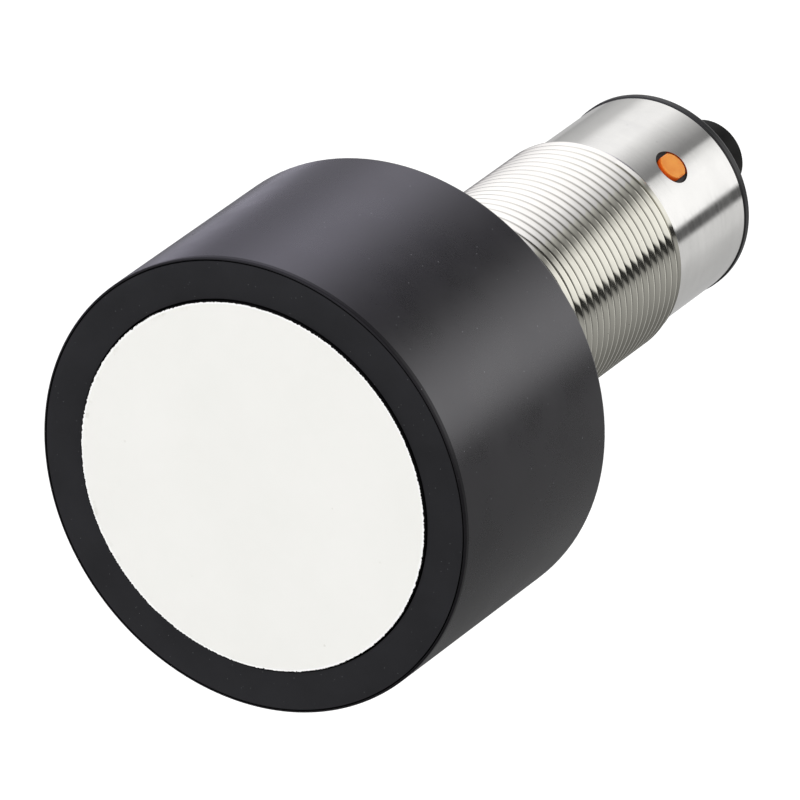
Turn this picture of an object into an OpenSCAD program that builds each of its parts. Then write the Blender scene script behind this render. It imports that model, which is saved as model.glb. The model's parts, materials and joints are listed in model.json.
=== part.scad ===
// Ultrasonic distance sensor: a large round head on a threaded sleeve, with a teach key and a round plug.
// The axis runs along Y. The sensing face looks to -Y, the plug to +Y, and the key is on top, at +Z.
// The origin is on the axis, in the plane of the shoulder behind the head, where the thread begins.

/* [Head] */
// Outside diameter of the head
head_d = 62; // [60:0.5:70]
// Side wall of the head
head_wall = 2.4; // [1.8:0.1:2.8]
// Rear wall of the head
back_wall = 4; // [3:0.1:4.8]
// Rounding on the rear edge of the head
back_edge = 0.5; // [0.2:0.1:1.5]
// Chamfer on the front edge of the head
front_chamfer = 0.3; // [0.15:0.05:0.35]
// Number of seat ribs inside the side wall
rib_count = 12; // [6:6:24]
// Thickness of a seat rib and of a web
rib_t = 1.4; // [1:0.1:1.8]
// Height of a seat rib above the side wall
rib_h = 1.2; // [0.8:0.1:1.6]
// Height of the webs between collar and side wall
web_h = 4; // [2:0.5:5]

/* [Collar and sleeve joint] */
// Wall of the collar round the sleeve's journal
collar_wall = 4; // [3:0.1:5]
// Length of the collar in front of the rear wall
collar_len = 6; // [5:0.1:6.6]
// Depth of the seat for the sleeve's pilot ring
seat_depth = 1; // [0.6:0.1:1.6]
// Section of the sealing ring in the collar
sleeve_seal_t = 1.3; // [1:0.1:1.6]
// Thickness of the retaining clip
clip_t = 1; // [0.8:0.1:1.4]
// Width of the clip's band
clip_band = 3.2; // [2.4:0.1:3.6]
// Depth of the clip's groove in the sleeve
clip_groove = 0.7; // [0.4:0.05:0.8]
// Length of the sleeve's tip in front of the clip
tip_len = 1.5; // [1:0.1:2.4]
// Width of the lug that keeps the sleeve from turning
lug_w = 2; // [1.4:0.1:3]
// Length of that lug
lug_len = 1.2; // [0.8:0.1:1.3]

/* [Sensing face] */
// Width of the face ring, from the disc's hole to its outer edge
face_w = 5.6; // [5.2:0.1:7]
// Thickness of the matching disc
disc_t = 6; // [5:0.1:6.8]
// How far the disc stands proud of the face ring
disc_proud = 0.35; // [0.1:0.05:0.8]
// Gap between the disc and the face ring
disc_gap = 0.15; // [0.05:0.05:0.3]
// Thickness of the face ring's flange
flange_t = 0.5; // [0.45:0.05:0.8]
// Width of the rim outside the face ring's groove
rim_w = 0.25; // [0.2:0.05:0.5]
// Width of the groove in the face ring
groove_w = 0.6; // [0.3:0.05:0.9]
// Depth of the groove in the face ring
groove_depth = 0.35; // [0.25:0.05:0.35]
// Bevel on the inner edge of the groove
ring_bevel = 0.2; // [0.1:0.05:0.25]
// Thickness of the inward lip behind the tuning ring
lip_t = 1.5; // [1:0.1:2]
// Width of the inward lip
lip_w = 2.9; // [2:0.1:3.4]

/* [Transducer] */
// Width of the tuning ring, from its bore to the edge of the matching disc
tuning_w = 6.75; // [5.5:0.05:8]
// Thickness of the piezo disc
piezo_t = 8; // [7.6:0.1:9.5]
// Thickness of the foam collar round the piezo
damping_t = 1.5; // [1:0.1:2]
// Thickness of the tuning ring
tuning_t = 6; // [5:0.1:7]
// Thickness of the foam pad between piezo and shield can
pad_t = 3.6; // [2:0.1:10]
// Distance of the shield can from the edge of the face ring's hole
can_inset = 1.4; // [0.6:0.1:1.8]
// Sheet thickness of the shield can
can_t = 0.4; // [0.3:0.05:0.6]
// Distance of each lead from the axis
lead_x = 12; // [11:0.5:14]
// Diameter of a lead
lead_d = 0.8; // [0.5:0.1:1]

/* [Driver board] */
// Thickness of the circuit boards
pcb_t = 1.6; // [1:0.1:2]
// Clear ring between the driver board and the seat ribs
board_clear = 1.4; // [0.6:0.1:2]
// Space between the shield can and the driver board
screw_room = 2; // [1.8:0.1:2.4]
// Space between the driver board and the sleeve's tip
tip_room = 2.25; // [1.6:0.05:2.6]
// Diameter of a board post
post_d = 6; // [5:0.1:7]
// Distance of a post from the board's edge, centre to edge
post_inset = 2.8; // [2.4:0.1:3.4]
// Shank diameter of a board screw
screw_d = 2.5; // [2:0.1:3]
// Head diameter of a board screw
screw_head_d = 4.5; // [4:0.1:5]
// Depth of a board screw in its post
screw_grip = 7; // [4:0.5:8]
// Height of a screw head
screw_head_h = 1.4; // [1:0.1:1.6]
// Length of the film capacitor
film_len = 11; // [8:0.5:12]
// Thickness of the film capacitor
film_t = 5; // [4:0.1:5.4]
// Height of the film capacitor over its board
film_h = 8; // [5:0.5:9]

/* [Transformer] */
// Space between the pot core and the bore of the sleeve
core_clear = 3.7; // [3.4:0.1:5]
// Height of the two core halves together
core_h = 10.6; // [9:0.2:12]
// Side wall of a core half
core_wall = 1.6; // [1.2:0.1:2]
// Base of a core half
core_base = 1.5; // [1.2:0.1:1.9]
// Space for the coil, from the core's centre post to its side wall
coil_room = 3.6; // [3:0.1:4.4]
// Diameter of the core screw
core_screw_d = 2.9; // [2:0.1:3.4]
// Head diameter of the core screw
core_screw_head_d = 5.2; // [4.4:0.1:6]
// Size of the core nut, corner to corner
nut_d = 6.1; // [5.6:0.1:6.6]
// Width of the wire slots in the core
core_slot = 3.8; // [2:0.2:5]
// Wall of the bobbin
bobbin_wall = 0.5; // [0.4:0.05:0.7]
// Height of the core nut
nut_h = 2.2; // [1.6:0.1:2.8]

/* [Sleeve] */
// Crest diameter of the sleeve's thread
thread_d = 29.9; // [29.6:0.05:30]
// Length of the threaded stretch
thread_len = 50; // [40:0.5:70]
// Pitch of the sleeve's thread
thread_pitch = 1.5; // [1:0.25:2]
// Length of the run-out at the end of the thread
thread_chamfer = 1.6; // [0.6:0.05:2.4]
// Depth of the pilot ring below the thread's crest
pilot_step = 0.35; // [0.2:0.05:0.6]
// Depth of the journal inside the head below the thread's crest
journal_step = 0.95; // [0.8:0.05:1.2]
// Depth of the smooth stretch below the thread's crest
smooth_step = 0.95; // [0.7:0.05:1.2]
// Length of the smooth stretch
smooth_len = 17.2; // [16:0.1:30]
// Wall of the smooth stretch
sleeve_wall = 1.3; // [1.1:0.05:1.6]

/* [Boards in the sleeve] */
// Depth of the main board's top face below the axis
board_drop = 3; // [2:0.1:4]
// Wall of the board carrier
carrier_wall = 1; // [0.7:0.1:1.4]
// Gap between the carrier and the sleeve
carrier_gap = 0.15; // [0.05:0.05:0.3]
// Grip of the carrier's slots on each side of the board
slot_grip = 1.2; // [0.8:0.1:1.8]
// Height of the carrier's rails over the board
rail_h = 1.4; // [0.8:0.1:2]
// Space between the core nut and the main board
board_lead_in = 1.5; // [1:0.1:4]
// Side of the processor
processor_w = 7; // [5:0.5:9]
// Diameter of a reservoir capacitor
reservoir_d = 6.3; // [5:0.1:6.8]
// Height of a reservoir capacitor
reservoir_h = 5.8; // [4:0.1:7]
// Side of the inductor
inductor_w = 6; // [4:0.1:6.6]
// Space between rows of parts on the board
row_gap = 1.5; // [1:0.1:2]
// Width of the ribbon between the boards
ribbon_w = 7; // [5:0.5:8]
// Thickness of the ribbon
ribbon_t = 0.3; // [0.2:0.05:0.4]

/* [Teach key] */
// Distance of the key's centre from the sleeve's rear end
key_from_end = 10.8; // [9.8:0.1:13]
// Diameter of the hole in the sleeve
key_hole_d = 5; // [4.6:0.1:5.6]
// Gap between the key's round ends and the edge of its hole
key_gap = 0.55; // [0.05:0.05:0.7]
// Width across the key's flats
key_flats = 3.6; // [3.2:0.1:4]
// How far the key stands proud of the sleeve
key_proud = 0.24; // [0.2:0.02:0.6]
// Edge break round the key's top
key_edge = 0.15; // [0.1:0.05:0.5]
// Travel of the key
key_travel = 0.3; // [0.2:0.05:0.4]
// Running gap of the key and the switch stem in their guides
run_gap = 0.06; // [0.03:0.01:0.09]
// Depth of the guide's horns below the sleeve's surface
horn_drop = 0.35; // [0.1:0.05:0.6]
// Diameter of the key's stem
key_stem_d = 2.6; // [2.2:0.1:2.8]
// Length of the guide below its slot
guide_len = 2.8; // [2.4:0.1:3.6]
// Diameter of the guide's inner flange
guide_flange_d = 6.8; // [6:0.1:8]
// Section of the sealing ring round the key's stem
key_seal_t = 0.62; // [0.5:0.02:0.7]
// Side of the switch body
switch_w = 6; // [5.4:0.1:6.6]
// Height of the switch body
switch_h = 3.4; // [3.2:0.1:4]
// Diameter of the switch stem
switch_stem_d = 3.2; // [2.6:0.1:3.6]

/* [Rear cap] */
// How far the rear cap stands out past the sleeve
cap_proud = 0.15; // [0.05:0.05:0.7]
// Thickness of the cap behind the sleeve
cap_t = 1.3; // [1:0.1:3]
// Rounding on the cap's rear edge
cap_edge = 0.5; // [0.2:0.1:0.8]
// Length of the cap's skirt inside the sleeve
skirt_len = 6; // [5.6:0.1:6.4]
// Wall of the skirt
skirt_wall = 1.65; // [1.5:0.05:2]
// Thickness of the cap's web inside the sleeve
web_t = 2; // [1.4:0.1:2.2]
// Section of the sealing ring on the skirt
cap_seal_t = 0.9; // [0.7:0.05:1]

/* [Plug] */
// Crest diameter of the plug's thread
plug_thread_d = 11.88; // [11.7:0.02:12]
// Length of the plug's thread
plug_thread_len = 7.6; // [6:0.1:10]
// Depth of the plug's nose below its thread's crest
plug_nose_step = 0.79; // [0.7:0.01:0.9]
// Length of the plug's nose
plug_nose_len = 4.3; // [2:0.1:5]
// Diameter of the plug's collar
plug_collar_d = 18; // [17.4:0.1:20]
// Thickness of the plug's collar
plug_collar_t = 1.8; // [1.4:0.1:3]
// Depth of each spanner flat of the collar
plug_flat_depth = 0.8; // [0.4:0.1:1]
// Edge break of the plug's collar and nose
plug_edge = 0.3; // [0.1:0.1:0.4]
// Length of the neck between collar and thread
plug_neck_len = 0.7; // [0.5:0.1:1.5]
// Depth of the neck below the thread's crest
plug_neck_step = 0.69; // [0.5:0.01:0.8]
// Length of the lead-in at the end of the plug's thread
plug_lead_in = 0.6; // [0.3:0.1:1]
// Diameter of the plug's stem in the cap
plug_stem_d = 13.9; // [13.4:0.1:14.6]
// Wall of the plug's nose round its socket
plug_wall = 0.85; // [0.7:0.05:1]
// Depth of the plug's socket
socket_depth = 8.9; // [8:0.1:10]
// Width of the coding rib in the socket
coding_w = 1.1; // [0.8:0.1:1.4]
// Height of the coding rib
coding_h = 0.8; // [0.5:0.1:1]
// Distance of the coding rib from the plug's mouth
coding_back = 1.4; // [0.5:0.1:3]
// Diameter of a contact pin
pin_d = 1; // [0.8:0.05:1.1]
// Diameter of the circle of the four outer pins
pin_circle_d = 5; // [4.6:0.1:5.2]
// Distance of the pin tips from the plug's mouth
pin_recess = 1.7; // [1:0.1:2.5]
// Section of the sealing ring under the plug's collar
plug_seal_t = 0.9; // [0.7:0.05:1]
// Thickness of the plug board
plug_board_t = 1.2; // [1:0.1:1.6]

/* [Hidden] */
$fn = 96;

// Clearance of pieces that slip into each other, and of pieces that are pressed or bonded
slip_gap = 0.1;
press_gap = 0.02;
// How deep a rib, web or post runs into the wall that carries it
root = 0.5;
// How far a cut runs past the face that it opens
over = 1;
// Half the width of a seal's groove, as a share of the seal's section
groove_half = 0.7;
// Smallest edge break
fine_edge = 0.05;
// Depth of a thread, and width of its crest, as shares of the pitch
thread_depth = 0.613;
thread_crest = 0.125;
// Edge break of turned metal
turned_edge = 0.15;
// Number of posts under the driver board, the first at the top
post_count = 3;

// Radii along the head and the sleeve
head_r = head_d / 2;
cavity_r = head_r - head_wall;
rib_tip_r = cavity_r - rib_h;
crest_r = thread_d / 2;
pilot_r = crest_r - pilot_step;
seat_r = crest_r + slip_gap;
journal_r = crest_r - journal_step;
collar_r = journal_r + collar_wall;
smooth_r = crest_r - smooth_step;
bore_r = smooth_r - sleeve_wall;
ring_r = head_r - face_w;
disc_r = ring_r - disc_gap;
groove_out = head_r - rim_w;
groove_in = groove_out - groove_w;
tuning_in = disc_r - tuning_w;
piezo_r = tuning_in - damping_t;
can_r = ring_r - can_inset;
board_r = rib_tip_r - board_clear;
post_at = board_r - post_inset;
film_at = (collar_r + rib_tip_r) / 2;
core_r = bore_r - core_clear;
core_in = core_r - core_wall;
core_post_r = core_in - coil_room;
screw_r = screw_d / 2;
core_screw_r = core_screw_d / 2;
plug_thread_r = plug_thread_d / 2;
plug_nose_r = plug_thread_r - plug_nose_step;
plug_neck_r = plug_thread_r - plug_neck_step;
socket_r = plug_nose_r - plug_wall;

// Stations along Y, from the shoulder forwards: the head is as long as what it holds
y_back = -back_wall;
y_collar = y_back - collar_len;
y_seal = y_back - collar_len / 2;
y_tip = y_collar - clip_t - tip_len;
y_driver_back = y_tip - tip_room;
y_driver = y_driver_back - pcb_t;
y_can_back = y_driver - screw_room;
y_piezo_back = y_can_back - can_t - pad_t;
y_disc_back = y_piezo_back - piezo_t;
y_disc = y_disc_back - disc_t;
y_face = y_disc + disc_proud;
y_rim = y_face + flange_t;
y_tuning_back = y_disc_back + tuning_t;
y_ledge = y_tuning_back + lip_t;

// Stations from the driver board and the shoulder rearwards
y_core_end = y_driver_back + core_h;
y_nut_end = y_core_end + nut_h;
y_main = y_nut_end + board_lead_in;
y_end = thread_len + smooth_len;
y_skirt = y_end - skirt_len;
y_web = y_end - web_t;
y_cap_seal = y_web - cap_seal_t;
y_cap = y_end + cap_t;
y_key = y_end - key_from_end;
y_collar_end = y_cap + plug_collar_t;
y_neck_end = y_collar_end + plug_neck_len;
y_thread_end = y_neck_end + plug_thread_len;
y_mouth = y_thread_end + plug_nose_len;
y_insert = y_mouth - socket_depth;
y_plug_board = y_web - plug_board_t;

// Heights in the sleeve
z_board = -board_drop;
z_under = z_board - pcb_t;
carrier_r = bore_r - carrier_gap;
board_half = sqrt(carrier_r * carrier_r - z_under * z_under) - carrier_wall / 2;

// Teach key and switch: the guide's slot floor and seal, the key's snap lip, the dome and the stem's foot
slot_depth = 0.5;
key_seal_depth = 1.15;
snap_lip = 0.3;
snap_len = 0.7;
dome_floor = 0.5;
dome_room = 0.75;
stem_foot_h = 0.75;
stem_foot_w = 0.5;
z_slot = bore_r - slot_depth;
z_guide = z_slot - guide_len;
z_key_foot = z_guide - snap_len;
z_key_seal = z_slot - key_seal_depth;
z_dome = z_board + dome_floor;
z_stem_foot = z_dome + dome_room;
z_stem_stop = z_stem_foot + stem_foot_h;

// Ribbon and its two sockets: the front one lies just inside the sleeve's bore
socket_h = 2.2;
socket_len = 4;
socket_margin = 1;
socket_clear = 0.25;
socket_w = ribbon_w + 2 * socket_margin;
socket_corner_r = bore_r - socket_clear;
ribbon_z = socket_h / 2 - sqrt(socket_corner_r * socket_corner_r - socket_w * socket_w / 4);
y_rear_socket = y_main + socket_margin / 2;
z_rear_ribbon = z_under - socket_h / 2;

// Rows of parts on the main board: half the depth of each row, and the station of its middle
reservoir_base = reservoir_d + 3 * slip_gap;
lead_reach = 1;
row1_half = reservoir_base / 2;
row2_half = 3.3;
row3_half = 2.5;
row4_half = processor_w / 2 + lead_reach;
y_row1 = y_main + row_gap + row1_half;
y_row2 = y_row1 + row1_half + row_gap + row2_half;
y_row3 = y_row2 + row2_half + row_gap + row3_half;
y_row4 = y_row3 + row3_half + row_gap + row4_half;
y_row5 = y_row4 + row4_half + row_gap;
row_x = (board_half - slot_grip) / 2;

// Plug: half the depth of its seal's seat, its pins, its insert and the link to the main board
plug_seal_half = plug_seal_t * 0.55;
pin_r = pin_d / 2;
pin_spots = concat([[0, 0]], [for (a = [45:90:315]) pin_circle_d / 2 * [cos(a), sin(a)]]);
insert_r = socket_r - slip_gap / 2;
insert_flange_w = 0.9;
insert_flange_r = insert_r + insert_flange_w;
insert_flange_t = 2;
link_pitch = 2.54;
link_spots = [for (i = [-2:2]) i * link_pitch];
link_w = 5 * link_pitch;
link_h = 2.5;
link_len = 3.4;
link_pin_r = 0.32;
link_pin_inset = 1.5;
link_z = z_under - link_h / 2;
y_link_pin = y_skirt - link_pin_inset;

// Points of an arc about c, from angle a0 to a1
function arc(c, r, a0, a1, n = 8) =
    [for (i = [0:n]) c + r * [cos(a0 + (a1 - a0) * i / n), sin(a0 + (a1 - a0) * i / n)]];

// Turns an outline of (radius, station) about the sensor's axis
module lathe() {
    rotate([-90, 0, 0])
    rotate_extrude()
    children();
}

// Round bar on the sensor's axis, from station y0 to y1
module rod(r, y0, y1) {
    translate([0, y0, 0])
    rotate([-90, 0, 0])
    cylinder(r = r, h = y1 - y0);
}

// Tube on the sensor's axis
module tube(r_in, r_out, y0, y1) {
    lathe()
    translate([r_in, y0])
    square([r_out - r_in, y1 - y0]);
}

// Round sealing ring on the axis: r is its inner radius, t its section
module seal_ring(r, t, y) {
    lathe()
    translate([r + t / 2, y])
    circle(d = t - press_gap);
}

// Groove for a sealing ring: r is the groove's inner radius, t the ring's section
module seal_groove(r, t, y) {
    tube(r, r + t, y - t * groove_half, y + t * groove_half);
}

// Outlines, in (radius, station), of the grooves between a thread's ridges, a pitch apart from y0 to y1
module thread_grooves(crest, pitch, y0, y1) {
    depth = thread_depth * pitch;
    half = (1 - thread_crest) * pitch / 2;
    flare = 1 + fine_edge / depth;
    for (y = [y0 + pitch:pitch:y1])
        translate([crest - depth, y])
        scale(flare)
        polygon([[0, 0], [depth, half], [depth, -half]]);
}

// Places its children at an angle round the axis, measured from +X towards +Z
module around(angle) {
    rotate([0, -angle, 0])
    children();
}

// Places its children at each post of the driver board
module at_posts() {
    for (i = [0:post_count - 1])
        around(90 + i * 360 / post_count)
        translate([post_at, 0, 0])
        children();
}

// Places its children at each of the two transducer leads
module at_leads() {
    for (side = [-1, 1])
        translate([side * lead_x, 0, 0])
        children();
}

// Places its children at each contact pin
module at_pins() {
    for (spot = pin_spots)
        translate([spot[0], 0, spot[1]])
        children();
}

// Upright round bar at station y, from height z0 to z1
module upright(r, y, z0, z1) {
    translate([0, y, z0])
    cylinder(r = r, h = z1 - z0);
}

// Block centred on x and y, standing on height z
module block(x, y, z, w, l, h) {
    translate([x - w / 2, y - l / 2, z])
    cube([w, l, h]);
}

// Section in the (X, Z) plane, run along Y from y0 to y1
module run(y0, y1) {
    translate([0, y1, 0])
    rotate([90, 0, 0])
    linear_extrude(y1 - y0)
    children();
}

// Outline in the (Y, Z) plane, w wide in X
module slab(w) {
    translate([-w / 2, 0, 0])
    rotate([90, 0, 90])
    linear_extrude(w)
    children();
}

// Bent leads on both sides of a flat package, n on each side, standing on the board
module gull_leads(x, y, package_w, n, pitch) {
    foil = 0.15;
    lead_w = 0.3;
    shoulder = 0.85;
    knee = lead_reach / 2;
    for (side = [0, 1])
        for (i = [0:n - 1])
            translate([x, y + (i - (n - 1) / 2) * pitch, z_board])
            mirror([side, 0, 0])
            translate([package_w / 2, lead_w / 2, 0])
            rotate([90, 0, 0])
            linear_extrude(lead_w)
            polygon([[-fine_edge, shoulder - foil], [knee, shoulder - foil], [knee, 0], [lead_reach, 0],
                [lead_reach, foil], [knee + foil, foil], [knee + foil, shoulder], [-fine_edge, shoulder]]);
}

// Flat package with bent leads on two sides
module package(x, y, w, l, h, n, pitch) {
    block(x, y, z_board + fine_edge, w, l, h);
    gull_leads(x, y, w, n, pitch);
}

// Moulded cup of the head, with its collar, seat ribs, webs and board posts
module head_housing() {
    color("#2c2c2f")
    difference() {
        union() {
            lathe()
            polygon(concat(
                [[cavity_r, y_rim], [head_r - front_chamfer, y_rim], [head_r, y_rim + front_chamfer]],
                arc([head_r - back_edge, -back_edge], back_edge, 0, 90),
                [[seat_r, 0], [seat_r, -seat_depth], [journal_r + press_gap, -seat_depth],
                    [journal_r + press_gap, y_collar], [collar_r, y_collar], [collar_r, y_back],
                    [cavity_r, y_back]]));
            for (i = [0:rib_count - 1])
                around(i * 360 / rib_count)
                translate([rib_tip_r, y_ledge, -rib_t / 2])
                cube([rib_h + root, y_back + root - y_ledge, rib_t]);
            for (i = [0:5])
                around(i * 60)
                translate([collar_r - root, y_back - web_h, -rib_t / 2])
                cube([cavity_r - collar_r + 2 * root, web_h + root, rib_t]);
            at_posts()
            rod(post_d / 2, y_driver_back, y_back + root);
            block(0, y_collar + lug_len / 2, -journal_r - root, lug_w, lug_len, journal_r - bore_r + root);
        }
        seal_groove(journal_r, sleeve_seal_t, y_seal);
        at_posts()
        rod(screw_r + press_gap, y_driver_back - over, y_driver_back + screw_grip + root);
    }
}

// Elastic ring that carries the transducer: flange with a groove, barrel and inward lip
module face_ring() {
    color("#303032")
    lathe()
    polygon([
        [ring_r, y_face], [groove_in - ring_bevel, y_face], [groove_in, y_face + ring_bevel],
        [groove_in, y_face + groove_depth], [groove_out, y_face + groove_depth], [groove_out, y_face],
        [head_r - fine_edge, y_face], [head_r, y_face + fine_edge], [head_r, y_rim - front_chamfer],
        [head_r - front_chamfer, y_rim], [cavity_r - slip_gap, y_rim], [cavity_r - slip_gap, y_ledge],
        [ring_r - lip_w, y_ledge], [ring_r - lip_w, y_tuning_back], [ring_r, y_tuning_back]]);
}

// White disc that matches the transducer to the air
module matching_disc() {
    color("#efefec")
    rod(disc_r, y_disc, y_disc_back);
}

module piezo_disc() {
    color("#b9a98a")
    rod(piezo_r, y_disc_back, y_piezo_back);
}

// Metal ring bonded to the back of the disc, round the piezo
module tuning_ring() {
    color("#b8babd")
    tube(tuning_in, disc_r, y_disc_back, y_tuning_back);
}

module damping_collar() {
    color("#55524d")
    tube(piezo_r + press_gap, tuning_in - press_gap, y_disc_back, y_tuning_back);
}

// Foam disc that fills the space between piezo and shield can
module backing_pad() {
    color("#44423f")
    difference() {
        rod(piezo_r, y_piezo_back, y_can_back - can_t);
        at_leads()
        rod(lead_d / 2 + slip_gap, y_piezo_back - over, y_can_back);
    }
}

// Thin metal cup over the back of the transducer, standing on the face ring's lip
module shield_can() {
    color("#c9cacb")
    difference() {
        rod(can_r, y_ledge, y_can_back);
        rod(can_r - can_t, y_ledge - over, y_can_back - can_t);
        at_leads()
        rod(lead_d / 2 + 2 * slip_gap, y_ledge, y_can_back + over);
    }
}

module transducer_leads() {
    solder_tail = 0.4;
    color("#c08a4a")
    at_leads()
    rod(lead_d / 2, y_piezo_back, y_driver_back + solder_tail);
}

// Round board of the transmitter, on the posts of the head
module driver_board() {
    color("#2f6b46")
    difference() {
        rod(board_r, y_driver, y_driver_back);
        rod(core_screw_r + slip_gap, y_driver - over, y_driver_back + over);
        at_posts()
        rod(screw_r + slip_gap, y_driver - over, y_driver_back + over);
        at_leads()
        rod(lead_d / 2 + slip_gap, y_driver - over, y_driver_back + over);
    }
}

// Screws of the driver board, with cross recesses
module board_screws() {
    recess_w = 0.6;
    recess_len = 3;
    recess_depth = 0.8;
    color("#b0b2b4")
    at_posts()
    difference() {
        union() {
            rod(screw_head_d / 2, y_driver - screw_head_h, y_driver);
            rod(screw_r, y_driver - slip_gap, y_driver_back + screw_grip);
        }
        for (turn = [0, 90])
            rotate([0, turn, 0])
            block(0, y_driver - screw_head_h, -recess_w / 2, recess_len, 2 * recess_depth, recess_w);
    }
}

// Film capacitor on the driver board, clear of the collar and the seat ribs
module film_capacitor() {
    color("#b4452f")
    around(30)
    translate([film_at - film_t / 2, y_driver_back, -film_len / 2])
    cube([film_t, film_h, film_len]);
}

// Power transistor, flat on the board with its tab outwards
module power_transistor() {
    package_l = 6;
    package_w = 6.5;
    package_h = 2.3;
    lead_pitch = 2.3;
    lead_l = 1.6;
    lead_w = 0.8;
    tab_l = 0.8;
    tab_w = 5.2;
    foil = 0.5;
    color("#2a2a2c")
    around(150)
    translate([post_at - package_l / 2, y_driver_back, 0])
    union() {
        translate([0, 0, -package_w / 2])
        cube([package_l, package_h, package_w]);
        for (side = [-1, 1])
            translate([-lead_l, 0, side * lead_pitch - lead_w / 2])
            cube([lead_l + root, foil, lead_w]);
        translate([package_l - root, 0, -tab_w / 2])
        cube([tab_l + root, foil, tab_w]);
    }
}

// Bead that senses the air's temperature, on two leads
module thermistor() {
    bead_r = 1.4;
    stand_off = 6;
    lead_gap = 1.6;
    lead_r = 0.3;
    color("#8d9aa5")
    around(270)
    translate([post_at, y_driver_back, 0])
    union() {
        translate([0, stand_off, 0])
        sphere(r = bead_r);
        for (side = [-1, 1])
            translate([0, 0, side * lead_gap / 2])
            rod(lead_r, 0, stand_off - bead_r / 2);
    }
}

// One half of the pot core, its open side towards +Y, with its base at station 0
module core_half() {
    half_h = core_h / 2;
    difference() {
        lathe()
        polygon([[core_screw_r + slip_gap, 0], [core_r, 0], [core_r, half_h], [core_in, half_h],
            [core_in, core_base], [core_post_r, core_base], [core_post_r, half_h],
            [core_screw_r + slip_gap, half_h]]);
        for (side = [0, 180])
            rotate([0, side, 0])
            translate([core_in - over, core_base, -core_slot / 2])
            cube([core_r, half_h, core_slot]);
    }
}

module core_front() {
    color("#3a3a3d")
    translate([0, y_driver_back, 0])
    core_half();
}

module core_rear() {
    color("#3a3a3d")
    translate([0, y_core_end, 0])
    mirror([0, 1, 0])
    core_half();
}

// Spool between the two core halves
module bobbin() {
    flange_r = core_in - slip_gap;
    hub_r = core_post_r + slip_gap;
    y0 = y_driver_back + core_base;
    y1 = y_core_end - core_base;
    color("#e8e2d0")
    lathe()
    polygon([[hub_r, y0], [flange_r, y0], [flange_r, y0 + bobbin_wall],
        [hub_r + bobbin_wall, y0 + bobbin_wall], [hub_r + bobbin_wall, y1 - bobbin_wall],
        [flange_r, y1 - bobbin_wall], [flange_r, y1], [hub_r, y1]]);
}

module winding() {
    color("#b5622b")
    tube(core_post_r + slip_gap + bobbin_wall, core_in - 3 * slip_gap,
        y_driver_back + core_base + bobbin_wall, y_core_end - core_base - bobbin_wall);
}

// Screw through the driver board and both core halves
module core_screw() {
    slot_w = 0.7;
    slot_depth = 0.6;
    end_len = 0.4;
    color("#c8b06a")
    difference() {
        union() {
            rod(core_screw_head_d / 2, y_driver - screw_head_h, y_driver);
            rod(core_screw_r, y_driver - slip_gap, y_nut_end + end_len);
        }
        block(0, y_driver - screw_head_h, -slot_w / 2, core_screw_head_d + over, 2 * slot_depth, slot_w);
    }
}

module core_nut() {
    color("#c8b06a")
    translate([0, y_core_end, 0])
    rotate([-90, 0, 0])
    difference() {
        cylinder(d = nut_d, h = nut_h, $fn = 6);
        translate([0, 0, -over])
        cylinder(r = core_screw_r + press_gap, h = nut_h + 2 * over);
    }
}

// Socket with a slot for the ribbon, its middle at station y and height z, its mouth at y_open
module ribbon_socket(y, z, y_open) {
    difference() {
        block(0, y, z - socket_h / 2, socket_w, socket_len, socket_h);
        block(0, y_open, z - ribbon_t, ribbon_w + 3 * slip_gap, socket_len, 2 * ribbon_t);
    }
}

module front_ribbon_socket() {
    color("#e9e6da")
    ribbon_socket(y_driver_back + socket_len / 2, ribbon_z, y_driver_back + socket_len);
}

module rear_ribbon_socket() {
    color("#e9e6da")
    ribbon_socket(y_rear_socket + socket_len / 2, z_rear_ribbon, y_rear_socket);
}

// Flat cable that passes under the transformer, from the driver board to the main board
module board_ribbon() {
    half = ribbon_t / 2;
    y_in = y_driver_back + socket_len / 2;
    y_bend = y_core_end;
    y_top = y_main - half;
    y_out = y_rear_socket + socket_len / 2;
    color("#d8d4c4")
    slab(ribbon_w)
    polygon([[y_in, ribbon_z - half], [y_bend + half, ribbon_z - half], [y_top + half, z_rear_ribbon - half],
        [y_out, z_rear_ribbon - half], [y_out, z_rear_ribbon + half], [y_top, z_rear_ribbon + half],
        [y_bend, ribbon_z + half], [y_in, ribbon_z + half]]);
}

// Turned tube: slotted journal in the head, pilot ring, threaded stretch and smooth stretch
module sleeve() {
    tip_chamfer = 0.4;
    slot_w = lug_w + slip_gap;
    y_slot_end = y_collar + lug_len + slip_gap / 2;
    color("#c9c7c0")
    difference() {
        lathe()
        difference() {
            polygon([[bore_r, y_tip], [journal_r - tip_chamfer, y_tip], [journal_r, y_tip + tip_chamfer],
                [journal_r, y_collar - clip_t], [journal_r - clip_groove, y_collar - clip_t],
                [journal_r - clip_groove, y_collar], [journal_r, y_collar], [journal_r, -seat_depth],
                [pilot_r, -seat_depth], [pilot_r, 0], [crest_r, 0], [crest_r, thread_len - thread_chamfer],
                [smooth_r, thread_len], [smooth_r, y_end - turned_edge], [smooth_r - turned_edge, y_end],
                [bore_r, y_end]]);
            thread_grooves(crest_r, thread_pitch, 0, thread_len - thread_chamfer);
        }
        upright(key_hole_d / 2, y_key, 0, smooth_r + over);
        block(0, y_tip, -journal_r - over, slot_w, 2 * (y_slot_end - y_tip), journal_r);
    }
}

module sleeve_seal() {
    color("#1f1f21")
    seal_ring(journal_r, sleeve_seal_t, y_seal);
}

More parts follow.
